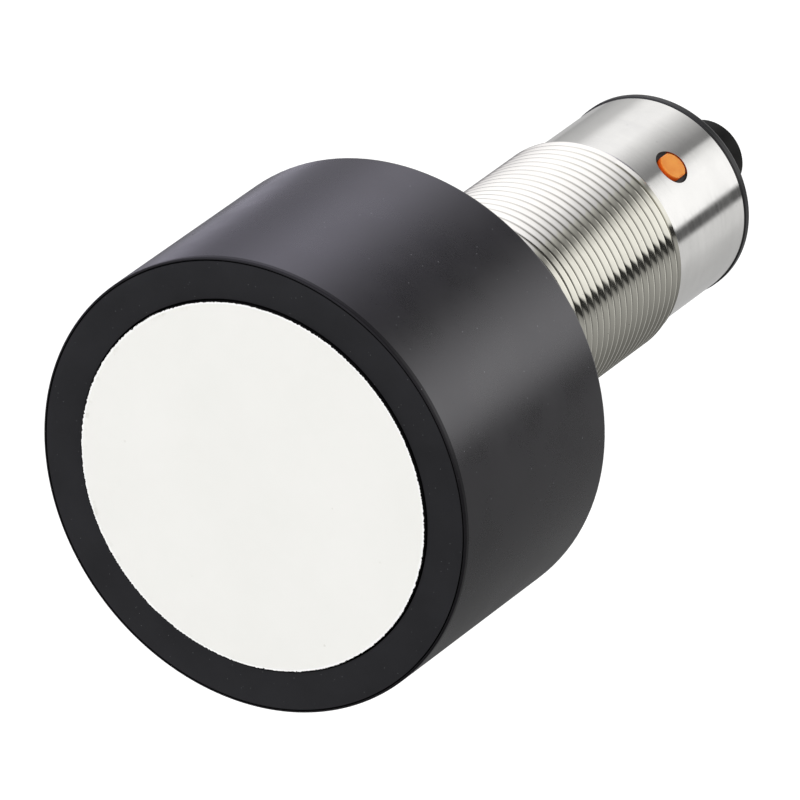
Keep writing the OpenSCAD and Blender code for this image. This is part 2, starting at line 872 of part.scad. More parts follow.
// Spring clip in the sleeve's groove, with two eared ends
module sleeve_clip() {
    clip_in = journal_r - clip_groove + press_gap;
    clip_out = clip_in + clip_band;
    half_mouth = 24;
    ear_turn = half_mouth + 5;
    ear_r = 1.9;
    ear_hole_r = 0.8;
    ear_at = clip_out - ear_hole_r / 2;
    color("#8f9194")
    run(y_collar - clip_t, y_collar)
    difference() {
        union() {
            circle(r = clip_out);
            for (side = [-1, 1])
                rotate(-90 + side * ear_turn)
                translate([ear_at, 0])
                circle(r = ear_r);
        }
        circle(r = clip_in);
        polygon([[0, 0], 2 * clip_out * [-sin(half_mouth), -cos(half_mouth)],
            2 * clip_out * [sin(half_mouth), -cos(half_mouth)]]);
        for (side = [-1, 1])
            rotate(-90 + side * ear_turn)
            translate([ear_at, 0])
            circle(r = ear_hole_r);
    }
}

// Trough that lines the lower half of the sleeve and holds the main board in two slots
module board_carrier() {
    color("#d9d6cc")
    run(y_main, y_skirt)
    difference() {
        intersection() {
            circle(r = carrier_r);
            translate([-carrier_r, -carrier_r])
            square([2 * carrier_r, carrier_r + z_board + rail_h]);
        }
        intersection() {
            circle(r = carrier_r - carrier_wall);
            translate([slot_grip - board_half, -carrier_r])
            square([2 * (board_half - slot_grip), 2 * carrier_r]);
        }
        translate([-board_half - slip_gap / 2, z_under - slip_gap / 2])
        square([2 * board_half + slip_gap, pcb_t + slip_gap]);
    }
}

module main_board() {
    color("#2f6b46")
    difference() {
        block(0, (y_main + y_skirt) / 2, z_under, 2 * board_half, y_skirt - y_main, pcb_t);
        for (x = link_spots)
            translate([x, y_link_pin, z_under - over])
            cylinder(r = link_pin_r + slip_gap / 2, h = pcb_t + 2 * over);
    }
}

// Processor, with leads on all four sides
module processor() {
    leads = 8;
    pitch = 0.8;
    height = 1.4;
    color("#29292b")
    translate([0, y_row4, 0])
    union() {
        package(0, 0, processor_w, processor_w, height, leads, pitch);
        rotate([0, 0, 90])
        gull_leads(0, 0, processor_w, leads, pitch);
    }
}

// Flat chip with four leads on each side
module output_driver() {
    width = 3.9;
    length = 4.9;
    height = 1.5;
    leads = 4;
    pitch = 1.27;
    color("#29292b")
    union()
    package(-row_x, y_row3, width, length, height, leads, pitch);
}

// Voltage regulator with a wide tab behind and two leads in front
module regulator() {
    width = 6.5;
    length = 5.2;
    height = 2.3;
    tab_w = 5.2;
    foil = 0.5;
    lead_w = 0.8;
    lead_pitch = 2.3;
    color("#29292b")
    union() {
        block(row_x, y_row2, z_board, width, length, height);
        block(row_x, y_row2 + row2_half / 2, z_board, tab_w, row2_half, foil);
        for (side = [-1, 1])
            block(row_x + side * lead_pitch, y_row2 - row2_half / 2, z_board, lead_w, row2_half, foil);
    }
}

// Shielded inductor: square block with a round core let into its top
module inductor() {
    height = 3;
    ring_d = inductor_w * 0.8;
    ring_w = 0.3;
    ring_depth = 0.4;
    color("#4a4745")
    difference() {
        block(-row_x, y_row2, z_board, inductor_w, inductor_w, height);
        translate([-row_x, y_row2, z_board + height - ring_depth])
        difference() {
            cylinder(d = ring_d, h = over);
            translate([0, 0, -over])
            cylinder(d = ring_d - 2 * ring_w, h = 3 * over);
        }
    }
}

// Two round capacitors on square bases
module reservoir_capacitors() {
    base_h = 1;
    color("#b9bcc0")
    for (side = [-1, 1])
        translate([side * row_x, y_row1, z_board])
        union() {
            cylinder(d = reservoir_d, h = reservoir_h);
            block(0, 0, 0, reservoir_base, reservoir_base, base_h);
        }
}

// Oval metal can of the crystal
module crystal() {
    height = 3.2;
    width = 3.4;
    straight = 4;
    color("#c6c8ca")
    translate([row_x, y_row3, z_board])
    linear_extrude(height)
    union() {
        square([straight, width], center = true);
        for (side = [-1, 1])
            translate([side * straight / 2, 0])
            circle(d = width);
    }
}

// Chip resistors and capacitors, in three lines behind the processor
module small_parts() {
    pitch = 2.4;
    chip_w = 0.9;
    chip_l = 1.6;
    chip_h = 0.5;
    color("#8a7a5c")
    for (row = [0:2])
        for (i = [-3:3])
            block(i * pitch, y_row5 + row * pitch, z_board, chip_w, chip_l, chip_h);
}

// Lamp beside the switch, whose light comes up round the key
module status_lamp() {
    base_w = 1.6;
    base_l = 2;
    base_h = 0.6;
    lens_d = 1.4;
    lens_h = 0.5;
    color("#e8d9a0")
    translate([switch_w / 2 + base_w, y_key, z_board])
    union() {
        block(0, 0, 0, base_w, base_l, base_h);
        translate([0, 0, base_h])
        cylinder(d = lens_d, h = lens_h);
    }
}

// Push switch on the main board, hollow round its dome and stem
module switch_body() {
    color("#202022")
    difference() {
        block(0, y_key, z_board, switch_w, switch_w, switch_h);
        upright(switch_stem_d / 2 + stem_foot_w + 2 * slip_gap, y_key, z_dome, z_stem_stop + fine_edge);
        upright(switch_stem_d / 2 + run_gap, y_key, z_dome, z_board + switch_h + over);
    }
}

// Snap dome under the stem
module switch_dome() {
    dome_r = switch_stem_d / 2 + stem_foot_w;
    dome_h = z_stem_foot - z_dome - fine_edge;
    dome_t = 0.12;
    crown_r = dome_r / 2;
    crown_h = dome_h - dome_t;
    color("#c2c4c6")
    translate([0, y_key, z_dome])
    rotate_extrude()
    polygon([[0, dome_h], [crown_r, crown_h], [dome_r, 0], [dome_r - dome_t, 0],
        [crown_r - fine_edge, crown_h - dome_t], [0, dome_h - dome_t]]);
}

// Stem of the switch, with a foot that the body holds captive
module switch_stem() {
    color("#3b3b3e")
    union() {
        upright(switch_stem_d / 2 + stem_foot_w, y_key, z_stem_foot, z_stem_stop);
        upright(switch_stem_d / 2, y_key, z_stem_foot, z_key_foot);
    }
}

// Orange teach key: a round head with two flats, a stem and a snap collar
module button_key() {
    head_key_r = key_hole_d / 2 - key_gap;
    flat_x = key_flats / 2;
    slope_x = flat_x - key_edge - over;
    z_top = smooth_r + key_proud;
    z_head = z_slot + key_travel + fine_edge;
    stem_r = key_stem_d / 2;
    snap_r = stem_r + snap_lip;
    z_snap = z_guide - fine_edge;
    color("#e58a35")
    translate([0, y_key, 0])
    union() {
        intersection() {
            rotate_extrude()
            polygon(concat([[0, z_head], [head_key_r, z_head]],
                arc([head_key_r - key_edge, z_top - key_edge], key_edge, 0, 90), [[0, z_top]]));
            run(-key_hole_d, key_hole_d)
            polygon([[flat_x, z_head - over], [flat_x, z_top - key_edge], [slope_x, z_top + over],
                [-slope_x, z_top + over], [-flat_x, z_top - key_edge], [-flat_x, z_head - over]]);
        }
        rotate_extrude()
        polygon([[0, z_key_foot], [stem_r - turned_edge, z_key_foot], [snap_r, z_snap - snap_lip],
            [snap_r, z_snap], [stem_r, z_snap], [stem_r, z_head + slip_gap], [0, z_head + slip_gap]]);
    }
}

// Bush of the key: two horns in the sleeve's hole, a flange inside the bore, a sealed bore below
module button_guide() {
    bush_r = key_hole_d / 2 - press_gap;
    flange_t_min = 1.4;
    z_gland = z_key_seal - key_seal_t * groove_half;
    color("#262628")
    difference() {
        union() {
            intersection() {
                upright(bush_r, y_key, z_guide, smooth_r);
                rod(smooth_r - horn_drop, y_key - key_hole_d, y_key + key_hole_d);
            }
            intersection() {
                upright(guide_flange_d / 2, y_key, z_slot - flange_t_min, smooth_r);
                rod(bore_r - press_gap, y_key - guide_flange_d, y_key + guide_flange_d);
            }
        }
        block(0, y_key, z_slot, key_flats + 2 * run_gap, guide_flange_d + over, smooth_r - z_slot + over);
        upright(key_stem_d / 2 + run_gap, y_key, z_guide - over, z_slot + over);
        upright(key_stem_d / 2 + key_seal_t, y_key, z_gland, z_gland + 2 * key_seal_t * groove_half);
    }
}

module button_seal() {
    color("#1f1f21")
    translate([0, y_key, z_key_seal])
    rotate_extrude()
    translate([(key_stem_d + key_seal_t + press_gap) / 2, 0])
    circle(d = key_seal_t - 2 * press_gap);
}

// Cap that closes the sleeve: thin rim behind it, sealed skirt inside it, web with the plug's hole
module rear_cap() {
    cap_r = smooth_r + cap_proud;
    skirt_r = bore_r - slip_gap / 2;
    hole_r = plug_stem_d / 2 + slip_gap / 2;
    gland_r = hole_r + plug_seal_t;
    y_gland = y_cap - 2 * plug_seal_half;
    color("#262628")
    difference() {
        lathe()
        polygon(concat(
            [[hole_r, y_web], [skirt_r - skirt_wall, y_web], [skirt_r - skirt_wall, y_skirt],
                [skirt_r, y_skirt], [skirt_r, y_end], [cap_r - turned_edge, y_end],
                [cap_r, y_end + turned_edge]],
            arc([cap_r - cap_edge, y_cap - cap_edge], cap_edge, 0, 90),
            [[gland_r, y_cap], [gland_r, y_gland], [hole_r, y_gland]]));
        seal_groove(bore_r - cap_seal_t, cap_seal_t, y_cap_seal);
    }
}

module cap_seal() {
    color("#1f1f21")
    seal_ring(bore_r - cap_seal_t, cap_seal_t, y_cap_seal);
}

// Body of the plug: stem in the cap, collar with two flats, neck, threaded stretch and plain nose
module plug_body() {
    stem_r = plug_stem_d / 2;
    collar_edge_r = plug_collar_d / 2;
    recess_r = insert_flange_r + press_gap;
    y_recess = y_web + insert_flange_t;
    color("#242426")
    union() {
        difference() {
            lathe()
            polygon([[recess_r, y_web], [stem_r, y_web], [stem_r, y_cap], [collar_edge_r, y_cap],
                [collar_edge_r, y_collar_end - plug_edge], [collar_edge_r - plug_edge, y_collar_end],
                [plug_neck_r, y_collar_end], [plug_neck_r, y_neck_end], [plug_thread_r, y_neck_end],
                [plug_thread_r, y_thread_end - plug_lead_in], [plug_nose_r, y_thread_end],
                [plug_nose_r, y_mouth - plug_edge], [plug_nose_r - plug_edge, y_mouth],
                [socket_r, y_mouth], [socket_r, y_recess], [recess_r, y_recess]]);
            for (side = [0, 180])
                rotate([0, side, 0])
                translate([collar_edge_r - plug_flat_depth, y_cap, -collar_edge_r])
                cube([collar_edge_r, plug_collar_t + fine_edge, plug_collar_d]);
        }
        intersection() {
            block(0, (y_insert + y_mouth - coding_back) / 2, socket_r - coding_h, coding_w,
                socket_depth - coding_back, coding_h + root);
            rod(socket_r + plug_edge, y_insert, y_mouth);
        }
    }
}

module plug_seal() {
    color("#1f1f21")
    seal_ring(plug_stem_d / 2, plug_seal_t, y_cap - plug_seal_half);
}

// Contact carrier, held in the plug's body by its flange
module plug_insert() {
    color("#2e2e31")
    difference() {
        union() {
            rod(insert_r, y_web, y_insert);
            rod(insert_flange_r, y_web, y_web + insert_flange_t);
        }
        at_pins()
        rod(pin_r + press_gap, y_web - over, y_insert + over);
    }
}

// Five contact pins with rounded tips, soldered into the plug board
module contact_pins() {
    solder_tail = 0.8;
    y_round = y_mouth - pin_recess - pin_r;
    color("#d8b75e")
    at_pins()
    union() {
        rod(pin_r, y_plug_board - solder_tail, y_round);
        translate([0, y_round, 0])
        sphere(r = pin_r);
    }
}

module plug_board() {
    color("#2f6b46")
    difference() {
        rod(bore_r - slip_gap / 2 - skirt_wall - slip_gap, y_plug_board, y_web);
        at_pins()
        rod(pin_r + slip_gap / 2, y_plug_board - over, y_web + over);
        for (x = link_spots)
            translate([x, 0, link_z])
            rod(link_pin_r + slip_gap / 2, y_plug_board - over, y_web + over);
    }
}

// Header that joins the plug board to the underside of the main board
module plug_link() {
    color("#262628")
    union() {
        block(0, y_skirt - link_len / 2, z_under - link_h, link_w, link_len, link_h);
        for (x = link_spots) {
            translate([x, 0, link_z])
            rod(link_pin_r, y_link_pin, y_web - 2 * slip_gap);
            translate([x, 0, 0])
            upright(link_pin_r, y_link_pin, link_z, z_board);
        }
    }
}

head_housing();
face_ring();
matching_disc();
piezo_disc();
tuning_ring();
damping_collar();
backing_pad();
shield_can();
transducer_leads();
driver_board();
board_screws();
film_capacitor();
power_transistor();
thermistor();
core_front();
core_rear();
bobbin();
winding();
core_screw();
core_nut();
front_ribbon_socket();
rear_ribbon_socket();
board_ribbon();
sleeve();
sleeve_seal();
sleeve_clip();
board_carrier();
main_board();
processor();
output_driver();
regulator();
inductor();
reservoir_capacitors();
crystal();
small_parts();
status_lamp();
switch_body();
switch_dome();
switch_stem();
button_key();
button_guide();
button_seal();
rear_cap();
cap_seal();
plug_body();
plug_seal();
plug_insert();
contact_pins();
plug_board();
plug_link();
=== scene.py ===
# %% [markdown]
# # An ultrasonic sensor with a large round head
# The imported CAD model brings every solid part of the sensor, in metres, with its axis along Y.
# This script leaves those parts where they are. It gives each one a surface that belongs to its
# material, and makes four pieces again where a plain solid isn't enough: the threaded sleeve, the
# plug, the ring round the face, and the white disc with its cut edge.

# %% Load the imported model
import json
import math

import bmesh
import bpy
from mathutils import Matrix, Vector, noise


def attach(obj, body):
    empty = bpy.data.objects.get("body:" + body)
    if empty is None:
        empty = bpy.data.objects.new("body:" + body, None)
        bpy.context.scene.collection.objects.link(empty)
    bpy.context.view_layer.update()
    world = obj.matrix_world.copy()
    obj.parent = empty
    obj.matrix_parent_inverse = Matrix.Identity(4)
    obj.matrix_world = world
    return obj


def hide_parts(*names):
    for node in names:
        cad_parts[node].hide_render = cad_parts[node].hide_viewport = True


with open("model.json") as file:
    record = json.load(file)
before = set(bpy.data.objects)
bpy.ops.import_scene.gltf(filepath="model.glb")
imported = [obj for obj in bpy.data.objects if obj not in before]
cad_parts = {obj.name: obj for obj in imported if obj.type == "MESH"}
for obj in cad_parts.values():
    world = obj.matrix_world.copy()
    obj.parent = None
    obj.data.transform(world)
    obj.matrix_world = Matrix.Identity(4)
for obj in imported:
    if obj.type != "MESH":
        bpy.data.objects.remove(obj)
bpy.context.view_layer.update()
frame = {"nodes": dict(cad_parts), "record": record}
nodes = frame["nodes"]
MM = 0.001

# %% [markdown]
# ## The camera
# A product photographer stands far back with a long lens, so that a small thing keeps its true
# proportions. A Track To constraint could aim the camera, but the picture is also rolled: the
# sensor's axis runs up to the right. The camera's own three directions hold that roll as well.

# %% Set up the camera
scene = bpy.context.scene
lens = bpy.data.cameras.new("long_lens")
lens.sensor_width = 36.0
lens.lens = 705.06
lens.clip_end = 50.0
camera = bpy.data.objects.new("studio_camera", lens)
scene.collection.objects.link(camera)
to_right = Vector((0.66005, 0.50089, 0.55986))
to_top = Vector((-0.74756, 0.36440, 0.55532))
to_back = Vector((0.07415, -0.78506, 0.61496))
place = Vector((0.15101, -1.57842, 1.23512))
camera.matrix_world = Matrix((
    (to_right.x, to_top.x, to_back.x, place.x),
    (to_right.y, to_top.y, to_back.y, place.y),
    (to_right.z, to_top.z, to_back.z, place.z),
    (0.0, 0.0, 0.0, 1.0)))
scene.camera = camera
scene.view_settings.view_transform = "Standard"
print("camera is", round(place.length, 3), "m from the sensor")

# %% [markdown]
# ## Small tools for node materials
# A material is a little network. Written out in full it takes many lines, so short helpers do the
# typing: one adds a node, one starts a material with its shader, and one links to that shader.
# Numbers that are the same all over a surface are typed on the shader itself, and only what varies is
# linked.

# %% Nodes and materials
def add_node(tree, kind, **settings):
    """Adds a node and sets the properties that are given by name."""
    made = tree.nodes.new(kind)
    for name, value in settings.items():
        setattr(made, name, value)
    return made


def start_material(name, roughness=0.5, metallic=0.0, gloss=0.5):
    """A new material: returns it with its node tree and its shader."""
    material = bpy.data.materials.new(name)
    material.use_nodes = True
    tree = material.node_tree
    shader = tree.nodes["Principled BSDF"]
    shader.inputs["Roughness"].default_value = roughness
    shader.inputs["Metallic"].default_value = metallic
    shader.inputs["Specular IOR Level"].default_value = gloss
    return material, tree, shader


def feed(shader, socket, value):
    """Links a value to a socket of the shader."""
    shader.id_data.links.new(value, shader.inputs[socket])


print("node helpers are ready")

# %% [markdown]
# Nearly every finish here starts from noise, so no picture files are needed. The noise is read at a
# point in millimetres, and its grain gets the size that it has on the real part. It runs from 0 to 1,
# is moved to the range that a socket needs, and then mixes two colours or joins another value.

# %% Noise, ranges and mixes
def place_in_mm(tree, stretch=(1.0, 1.0, 1.0)):
    """The point on the surface in millimetres, stretched along each axis."""
    where = add_node(tree, "ShaderNodeTexCoord")
    scale = add_node(tree, "ShaderNodeVectorMath", operation="MULTIPLY")
    scale.inputs[1].default_value = [1000.0 * s for s in stretch]
    tree.links.new(where.outputs["Object"], scale.inputs[0])
    return scale.outputs["Vector"]


def cloud(tree, point, size_mm, detail=3.0, rough=0.5, distortion=0.0):
    """Soft noise from 0 to 1, with blotches of about size_mm."""
    made = add_node(tree, "ShaderNodeTexNoise")
    made.inputs["Scale"].default_value = 1.0 / size_mm
    made.inputs["Detail"].default_value = detail
    made.inputs["Roughness"].default_value = rough
    made.inputs["Distortion"].default_value = distortion
    tree.links.new(point, made.inputs["Vector"])
    return made.outputs["Fac"]


def spread(tree, value, low, high, to_low, to_high):
    """Moves a value from one range to another, and keeps it inside."""
    made = add_node(tree, "ShaderNodeMapRange")
    for socket, number in (("From Min", low), ("From Max", high), ("To Min", to_low), ("To Max", to_high)):
        made.inputs[socket].default_value = number
    tree.links.new(value, made.inputs["Value"])
    return made.outputs["Result"]


def mixed_colour(tree, share, first, second):
    """Blends two colours, or colour sockets, by a share from 0 to 1."""
    made = add_node(tree, "ShaderNodeMix", data_type="RGBA")
    tree.links.new(share, made.inputs[0])
    for socket, colour in ((made.inputs[6], first), (made.inputs[7], second)):
        if isinstance(colour, bpy.types.NodeSocket):
            tree.links.new(colour, socket)
        else:
            socket.default_value = (*colour, 1.0)
    return made.outputs[2]


def combined(tree, first, second, kind="ADD"):
    """Adds two values, or joins them by another kind of arithmetic."""
    made = add_node(tree, "ShaderNodeMath", operation=kind)
    for socket, value in ((made.inputs[0], first), (made.inputs[1], second)):
        if isinstance(value, bpy.types.NodeSocket):
            tree.links.new(value, socket)
        else:
            socket.default_value = value
    return made.outputs["Value"]


print("noise and mixing helpers are ready")

# %% [markdown]
# Two effects come back on nearly every part. A bump bends the light as a fine relief would, so the
# grain needs no faces of its own. Sparse specks stand for dust on plastic and small pits in metal.
# Voronoi cells suit the specks: each cell has a centre, where the speck sits, and a chance colour,
# which picks the few cells that show one.

# %% Fine relief and specks
def relief(tree, shader, height, depth_mm):
    """Bends the surface normal by a height map that is depth_mm deep."""
    made = add_node(tree, "ShaderNodeBump")
    made.inputs["Strength"].default_value = 1.0
    made.inputs["Distance"].default_value = depth_mm * MM
    tree.links.new(height, made.inputs["Height"])
    feed(shader, "Normal", made.outputs["Normal"])


def dust(tree, point, size_mm, amount):
    """Sparse small specks: 1 on a speck, 0 elsewhere. A larger amount gives more of them."""
    cells = add_node(tree, "ShaderNodeTexVoronoi", feature="F1")
    cells.inputs["Scale"].default_value = 1.0 / size_mm
    tree.links.new(point, cells.inputs["Vector"])
    near = spread(tree, cells.outputs["Distance"], 0.10, 0.16, 1.0, 0.0)
    pick = add_node(tree, "ShaderNodeSeparateColor")
    tree.links.new(cells.outputs["Color"], pick.inputs["Color"])
    chosen = spread(tree, pick.outputs["Red"], 1.0 - amount, 1.0 - amount + 0.01, 0.0, 1.0)
    return combined(tree, near, chosen, "MULTIPLY")


def scaled(colour, share):
    """The same colour, lighter or darker."""
    return tuple(part * share for part in colour)


print("relief and specks are ready")

# %% [markdown]
# ## Dark grooves on turned parts
# Grooves, gaps and the roots of the thread are nearly black in the photo, as hardly any light comes
# back out of them. That shade is painted: on a turned part they lie at a fixed distance from the axis,
# so that distance can decide how much of a dark colour is mixed in. A colour ramp holds the shares,
# with one stop for each radius where the tone changes.

# %% Tone by the distance from the axis
def from_axis(tree, point):
    """Distance of a point from the Y axis, in the point's own unit."""
    split = add_node(tree, "ShaderNodeSeparateXYZ")
    tree.links.new(point, split.inputs[0])
    across = combined(tree, split.outputs["X"], split.outputs["X"], "MULTIPLY")
    upright = combined(tree, split.outputs["Z"], split.outputs["Z"], "MULTIPLY")
    return combined(tree, combined(tree, across, upright), 0.5, "POWER")


def tone_by_radius(material, colour, stops):
    """Mixes a colour into a turned part. Each stop is (radius in mm, share from 0 to 1)."""
    tree = material.node_tree
    shader = tree.nodes["Principled BSDF"]
    first, last = stops[0][0], stops[-1][0]
    ramp = add_node(tree, "ShaderNodeValToRGB")
    points = ramp.color_ramp.elements
    for point, (_, share) in zip(points, (stops[0], stops[-1])):
        point.color = (share, share, share, 1.0)
    for radius, share in stops[1:-1]:
        points.new((radius - first) / (last - first)).color = (share, share, share, 1.0)
    reach = spread(tree, from_axis(tree, place_in_mm(tree)), first, last, 0.0, 1.0)
    tree.links.new(reach, ramp.inputs["Fac"])
    before = shader.inputs["Base Color"].links[0].from_socket
    feed(shader, "Base Color", mixed_colour(tree, ramp.outputs["Color"], before, colour))


print("tone by radius is ready")

# %% [markdown]
# ## Moulded plastic
# The head is a black moulded cup. Up close such a skin isn't flat: the mould leaves a fine grain, the
# gloss wanders a little, and dust shows as pale specks. One noise for the grain, a wider one for the
# gloss and the sparse specks for the dust give all three.

# %% A finish for plastic and rubber
TONE_SHIFT = 0.18


def moulded(name, colour, roughness=0.45, gloss=0.5, grain_mm=0.25, grain_depth_mm=0.004, speck_mm=0.9,
            speck_share=0.06, speck_colour=(0.30, 0.30, 0.31), gloss_tint=(1.0, 1.0, 1.0)):
    """Moulded plastic or rubber with a fine grain, wandering gloss and a little dust."""
    material, tree, shader = start_material(name, roughness, 0.0, gloss)
    shader.inputs["Specular Tint"].default_value = (*gloss_tint, 1.0)
    point = place_in_mm(tree)
    broad = cloud(tree, point, 9.0, 4.0, 0.55)
    tone = mixed_colour(tree, spread(tree, broad, 0.3, 0.7, 0.0, 1.0),
                        scaled(colour, 1.0 - TONE_SHIFT), scaled(colour, 1.0 + TONE_SHIFT))
    specks = dust(tree, point, speck_mm, speck_share)
    feed(shader, "Base Color", mixed_colour(tree, specks, tone, speck_colour))
    fine = cloud(tree, point, grain_mm, 2.0, 0.6)
    smudge = spread(tree, broad, 0.25, 0.75, roughness - 0.04, roughness + 0.05)
    grain = spread(tree, fine, 0.2, 0.8, -0.02, 0.02)
    feed(shader, "Roughness", combined(tree, smudge, grain))
    relief(tree, shader, fine, grain_depth_mm)
    return material


print("moulded finish is ready")

# %% [markdown]
# The head's rounded front edge looks duller than its side in the photo, so the same plastic is made
# twice, and the edge gets less gloss. The ring round the face is more matt still. Its groove and the
# gap beside the disc are darkened by radius: painted shade, since hardly any light comes out of them.

# %% Plastics of the outside
HEAD_PLASTIC = dict(colour=(0.0065, 0.0060, 0.0072), grain_mm=0.22, grain_depth_mm=0.0020, speck_mm=0.7,
                    speck_share=0.05, speck_colour=(0.11, 0.11, 0.12), gloss_tint=(0.97, 0.95, 1.0))
head_black = moulded("head_black", roughness=0.28, gloss=1.0, **HEAD_PLASTIC)
rim_black = moulded("rim_black", roughness=0.30, gloss=0.25, **HEAD_PLASTIC)
ring_charcoal = moulded("ring_charcoal", (0.0160, 0.0160, 0.0182), roughness=0.62, gloss=0.16,
                        grain_mm=0.16, grain_depth_mm=0.010, speck_mm=0.42, speck_share=0.10,
                        speck_colour=(0.085, 0.085, 0.088))
# Painted shade: the ring's groove and the gap round the disc are mixed nearly black by radius.
GROOVE_PAINTED_SHADE = (0.0012, 0.0012, 0.0012)
tone_by_radius(ring_charcoal, GROOVE_PAINTED_SHADE, [
    (25.0, 0.80), (25.30, 0.97), (25.41, 0.97), (25.46, 0.0),
    (30.52, 0.0), (30.56, 0.97), (31.0, 0.97)])
cap_black_finish = moulded("cap_black_finish", (0.0100, 0.0100, 0.0105), roughness=0.32, gloss=0.45)
plug_black_finish = moulded("plug_black_finish", (0.0065, 0.0062, 0.0057), roughness=0.42, gloss=0.06)
guide_finish = moulded("guide_finish", (0.028, 0.027, 0.028), roughness=0.5, gloss=0.35,
                       grain_mm=0.12, speck_mm=0.5, speck_share=0.04)
print("materials so far:", len(bpy.data.materials))

# %% [markdown]
# The plastics and rubbers inside differ only in colour, gloss and the size of their grain, so each
# is one call of the same helper. The cream one is for the bobbin, the ribbon and its sockets. Red,
# blue and brown are usual colours of small electronic parts.

# %% Plastics of the inside
insert_finish = moulded("insert_finish", (0.022, 0.022, 0.024), roughness=0.45)
seal_finish = moulded("seal_finish", (0.014, 0.014, 0.015), roughness=0.6, gloss=0.3, grain_mm=0.1)
chip_finish = moulded("chip_finish", (0.020, 0.020, 0.022), roughness=0.55, gloss=0.4, grain_mm=0.12,
                      grain_depth_mm=0.006)
cream_finish = moulded("cream_finish", (0.72, 0.66, 0.52), grain_mm=0.2, grain_depth_mm=0.003,
                       speck_share=0.02, speck_colour=(0.35, 0.30, 0.22))
carrier_finish = moulded("carrier_finish", (0.60, 0.57, 0.50), roughness=0.5, grain_mm=0.3,
                         speck_mm=1.1, speck_share=0.02, speck_colour=(0.3, 0.28, 0.24))
film_finish = moulded("film_finish", (0.42, 0.07, 0.035), roughness=0.35, grain_mm=0.5,
                      grain_depth_mm=0.010, speck_mm=1.0, speck_share=0.02, speck_colour=(0.6, 0.3, 0.2))
bead_finish = moulded("bead_finish", (0.16, 0.24, 0.34), roughness=0.3, grain_mm=0.3,
                      grain_depth_mm=0.006, speck_mm=0.6, speck_share=0.02)
chip_brown_finish = moulded("chip_brown_finish", (0.22, 0.15, 0.08), roughness=0.5, gloss=0.4,
                            grain_mm=0.1, grain_depth_mm=0.003, speck_mm=0.4, speck_share=0.05,
                            speck_colour=(0.5, 0.45, 0.4))
print("materials so far:", len(bpy.data.materials))

# %% [markdown]
# ## The orange teach key
# The key is a small orange moulding that thumbs have pressed. Its colour is slightly uneven, and its
# walls are painted a deeper, redder orange than its top: painted shade. A slow noise between two
# oranges keeps the top lively, and the height along Z decides how much of the walls' painted shade is
# mixed in. That is simpler than two materials, and it gives a soft change over the rounded edge. A few
# pale specks are dust.

# %% Orange plastic of the key
def key_orange_finish():
    """Uneven orange, with painted shade: deeper and redder down the key's walls than on its top."""
    wall_z, top_z = 13.95, 14.22
    material, tree, shader = start_material("key_orange_finish", 0.42, 0.0, 0.45)
    point = place_in_mm(tree)
    slow = cloud(tree, point, 1.6, 3.0, 0.5)
    top = mixed_colour(tree, spread(tree, slow, 0.3, 0.7, 0.0, 1.0),
                       (0.78, 0.25, 0.024), (0.85, 0.32, 0.042))
    split = add_node(tree, "ShaderNodeSeparateXYZ")
    tree.links.new(point, split.inputs[0])
    # Painted shade: a deeper, redder orange down the walls, by height along Z.
    wall_painted_shade = spread(tree, split.outputs["Z"], wall_z, top_z, 1.0, 0.0)
    tone = mixed_colour(tree, wall_painted_shade, top, (0.92, 0.13, 0.008))
    specks = dust(tree, point, 0.35, 0.05)
    feed(shader, "Base Color", mixed_colour(tree, specks, tone, (0.86, 0.52, 0.28)))
    fine = cloud(tree, point, 0.09, 2.0, 0.6)
    feed(shader, "Roughness", spread(tree, fine, 0.2, 0.8, 0.36, 0.48))
    relief(tree, shader, fine, 0.003)
    shader.inputs["Subsurface Weight"].default_value = 0.08
    shader.inputs["Subsurface Radius"].default_value = (0.0006, 0.0002, 0.0001)
    return material


key_finish = key_orange_finish()
print("key finish has", len(key_finish.node_tree.nodes), "nodes")

# %% [markdown]
# ## Nickel on turned brass
# The sleeve is turned on a lathe and plated with nickel. The tool leaves rings round the axis that
# are far finer than the thread, and the plating has a warm tint. The rings are a noise that changes
# quickly along the axis and hardly at all round it: the point's X and Z are squeezed before the noise
# reads them, and its Y isn't. A wider noise dulls the plating in places, as handling does.

# %% A finish for turned metal
def turned(name, colour, roughness, ring_mm=0.05, ring_depth_mm=0.0006, blot=0.06):
    """Metal turned about the Y axis: fine rings, dull patches and a few dark specks."""
    material, tree, shader = start_material(name, roughness, 1.0, 0.5)
    along = place_in_mm(tree, (0.02, 1.0, 0.02))
    rings = cloud(tree, along, ring_mm, 2.0, 0.7)
    wide_rings = cloud(tree, along, ring_mm * 9.0, 2.0, 0.5)
    point = place_in_mm(tree)
    patch = cloud(tree, point, 5.0, 4.0, 0.6)
    tone = mixed_colour(tree, spread(tree, patch, 0.35, 0.7, 0.0, 1.0), colour, scaled(colour, 0.94))
    specks = dust(tree, point, 0.55, 0.02)
    feed(shader, "Base Color", mixed_colour(tree, specks, tone, scaled(colour, 0.55)))
    base = spread(tree, patch, 0.25, 0.75, roughness, roughness + blot)
    streak = spread(tree, wide_rings, 0.3, 0.7, -0.03, 0.03)
    feed(shader, "Roughness", combined(tree, base, streak))
    ridges = combined(tree, rings, combined(tree, wide_rings, 2.0, "MULTIPLY"))
    relief(tree, shader, ridges, ring_depth_mm)
    return material


print("turned finish is ready")
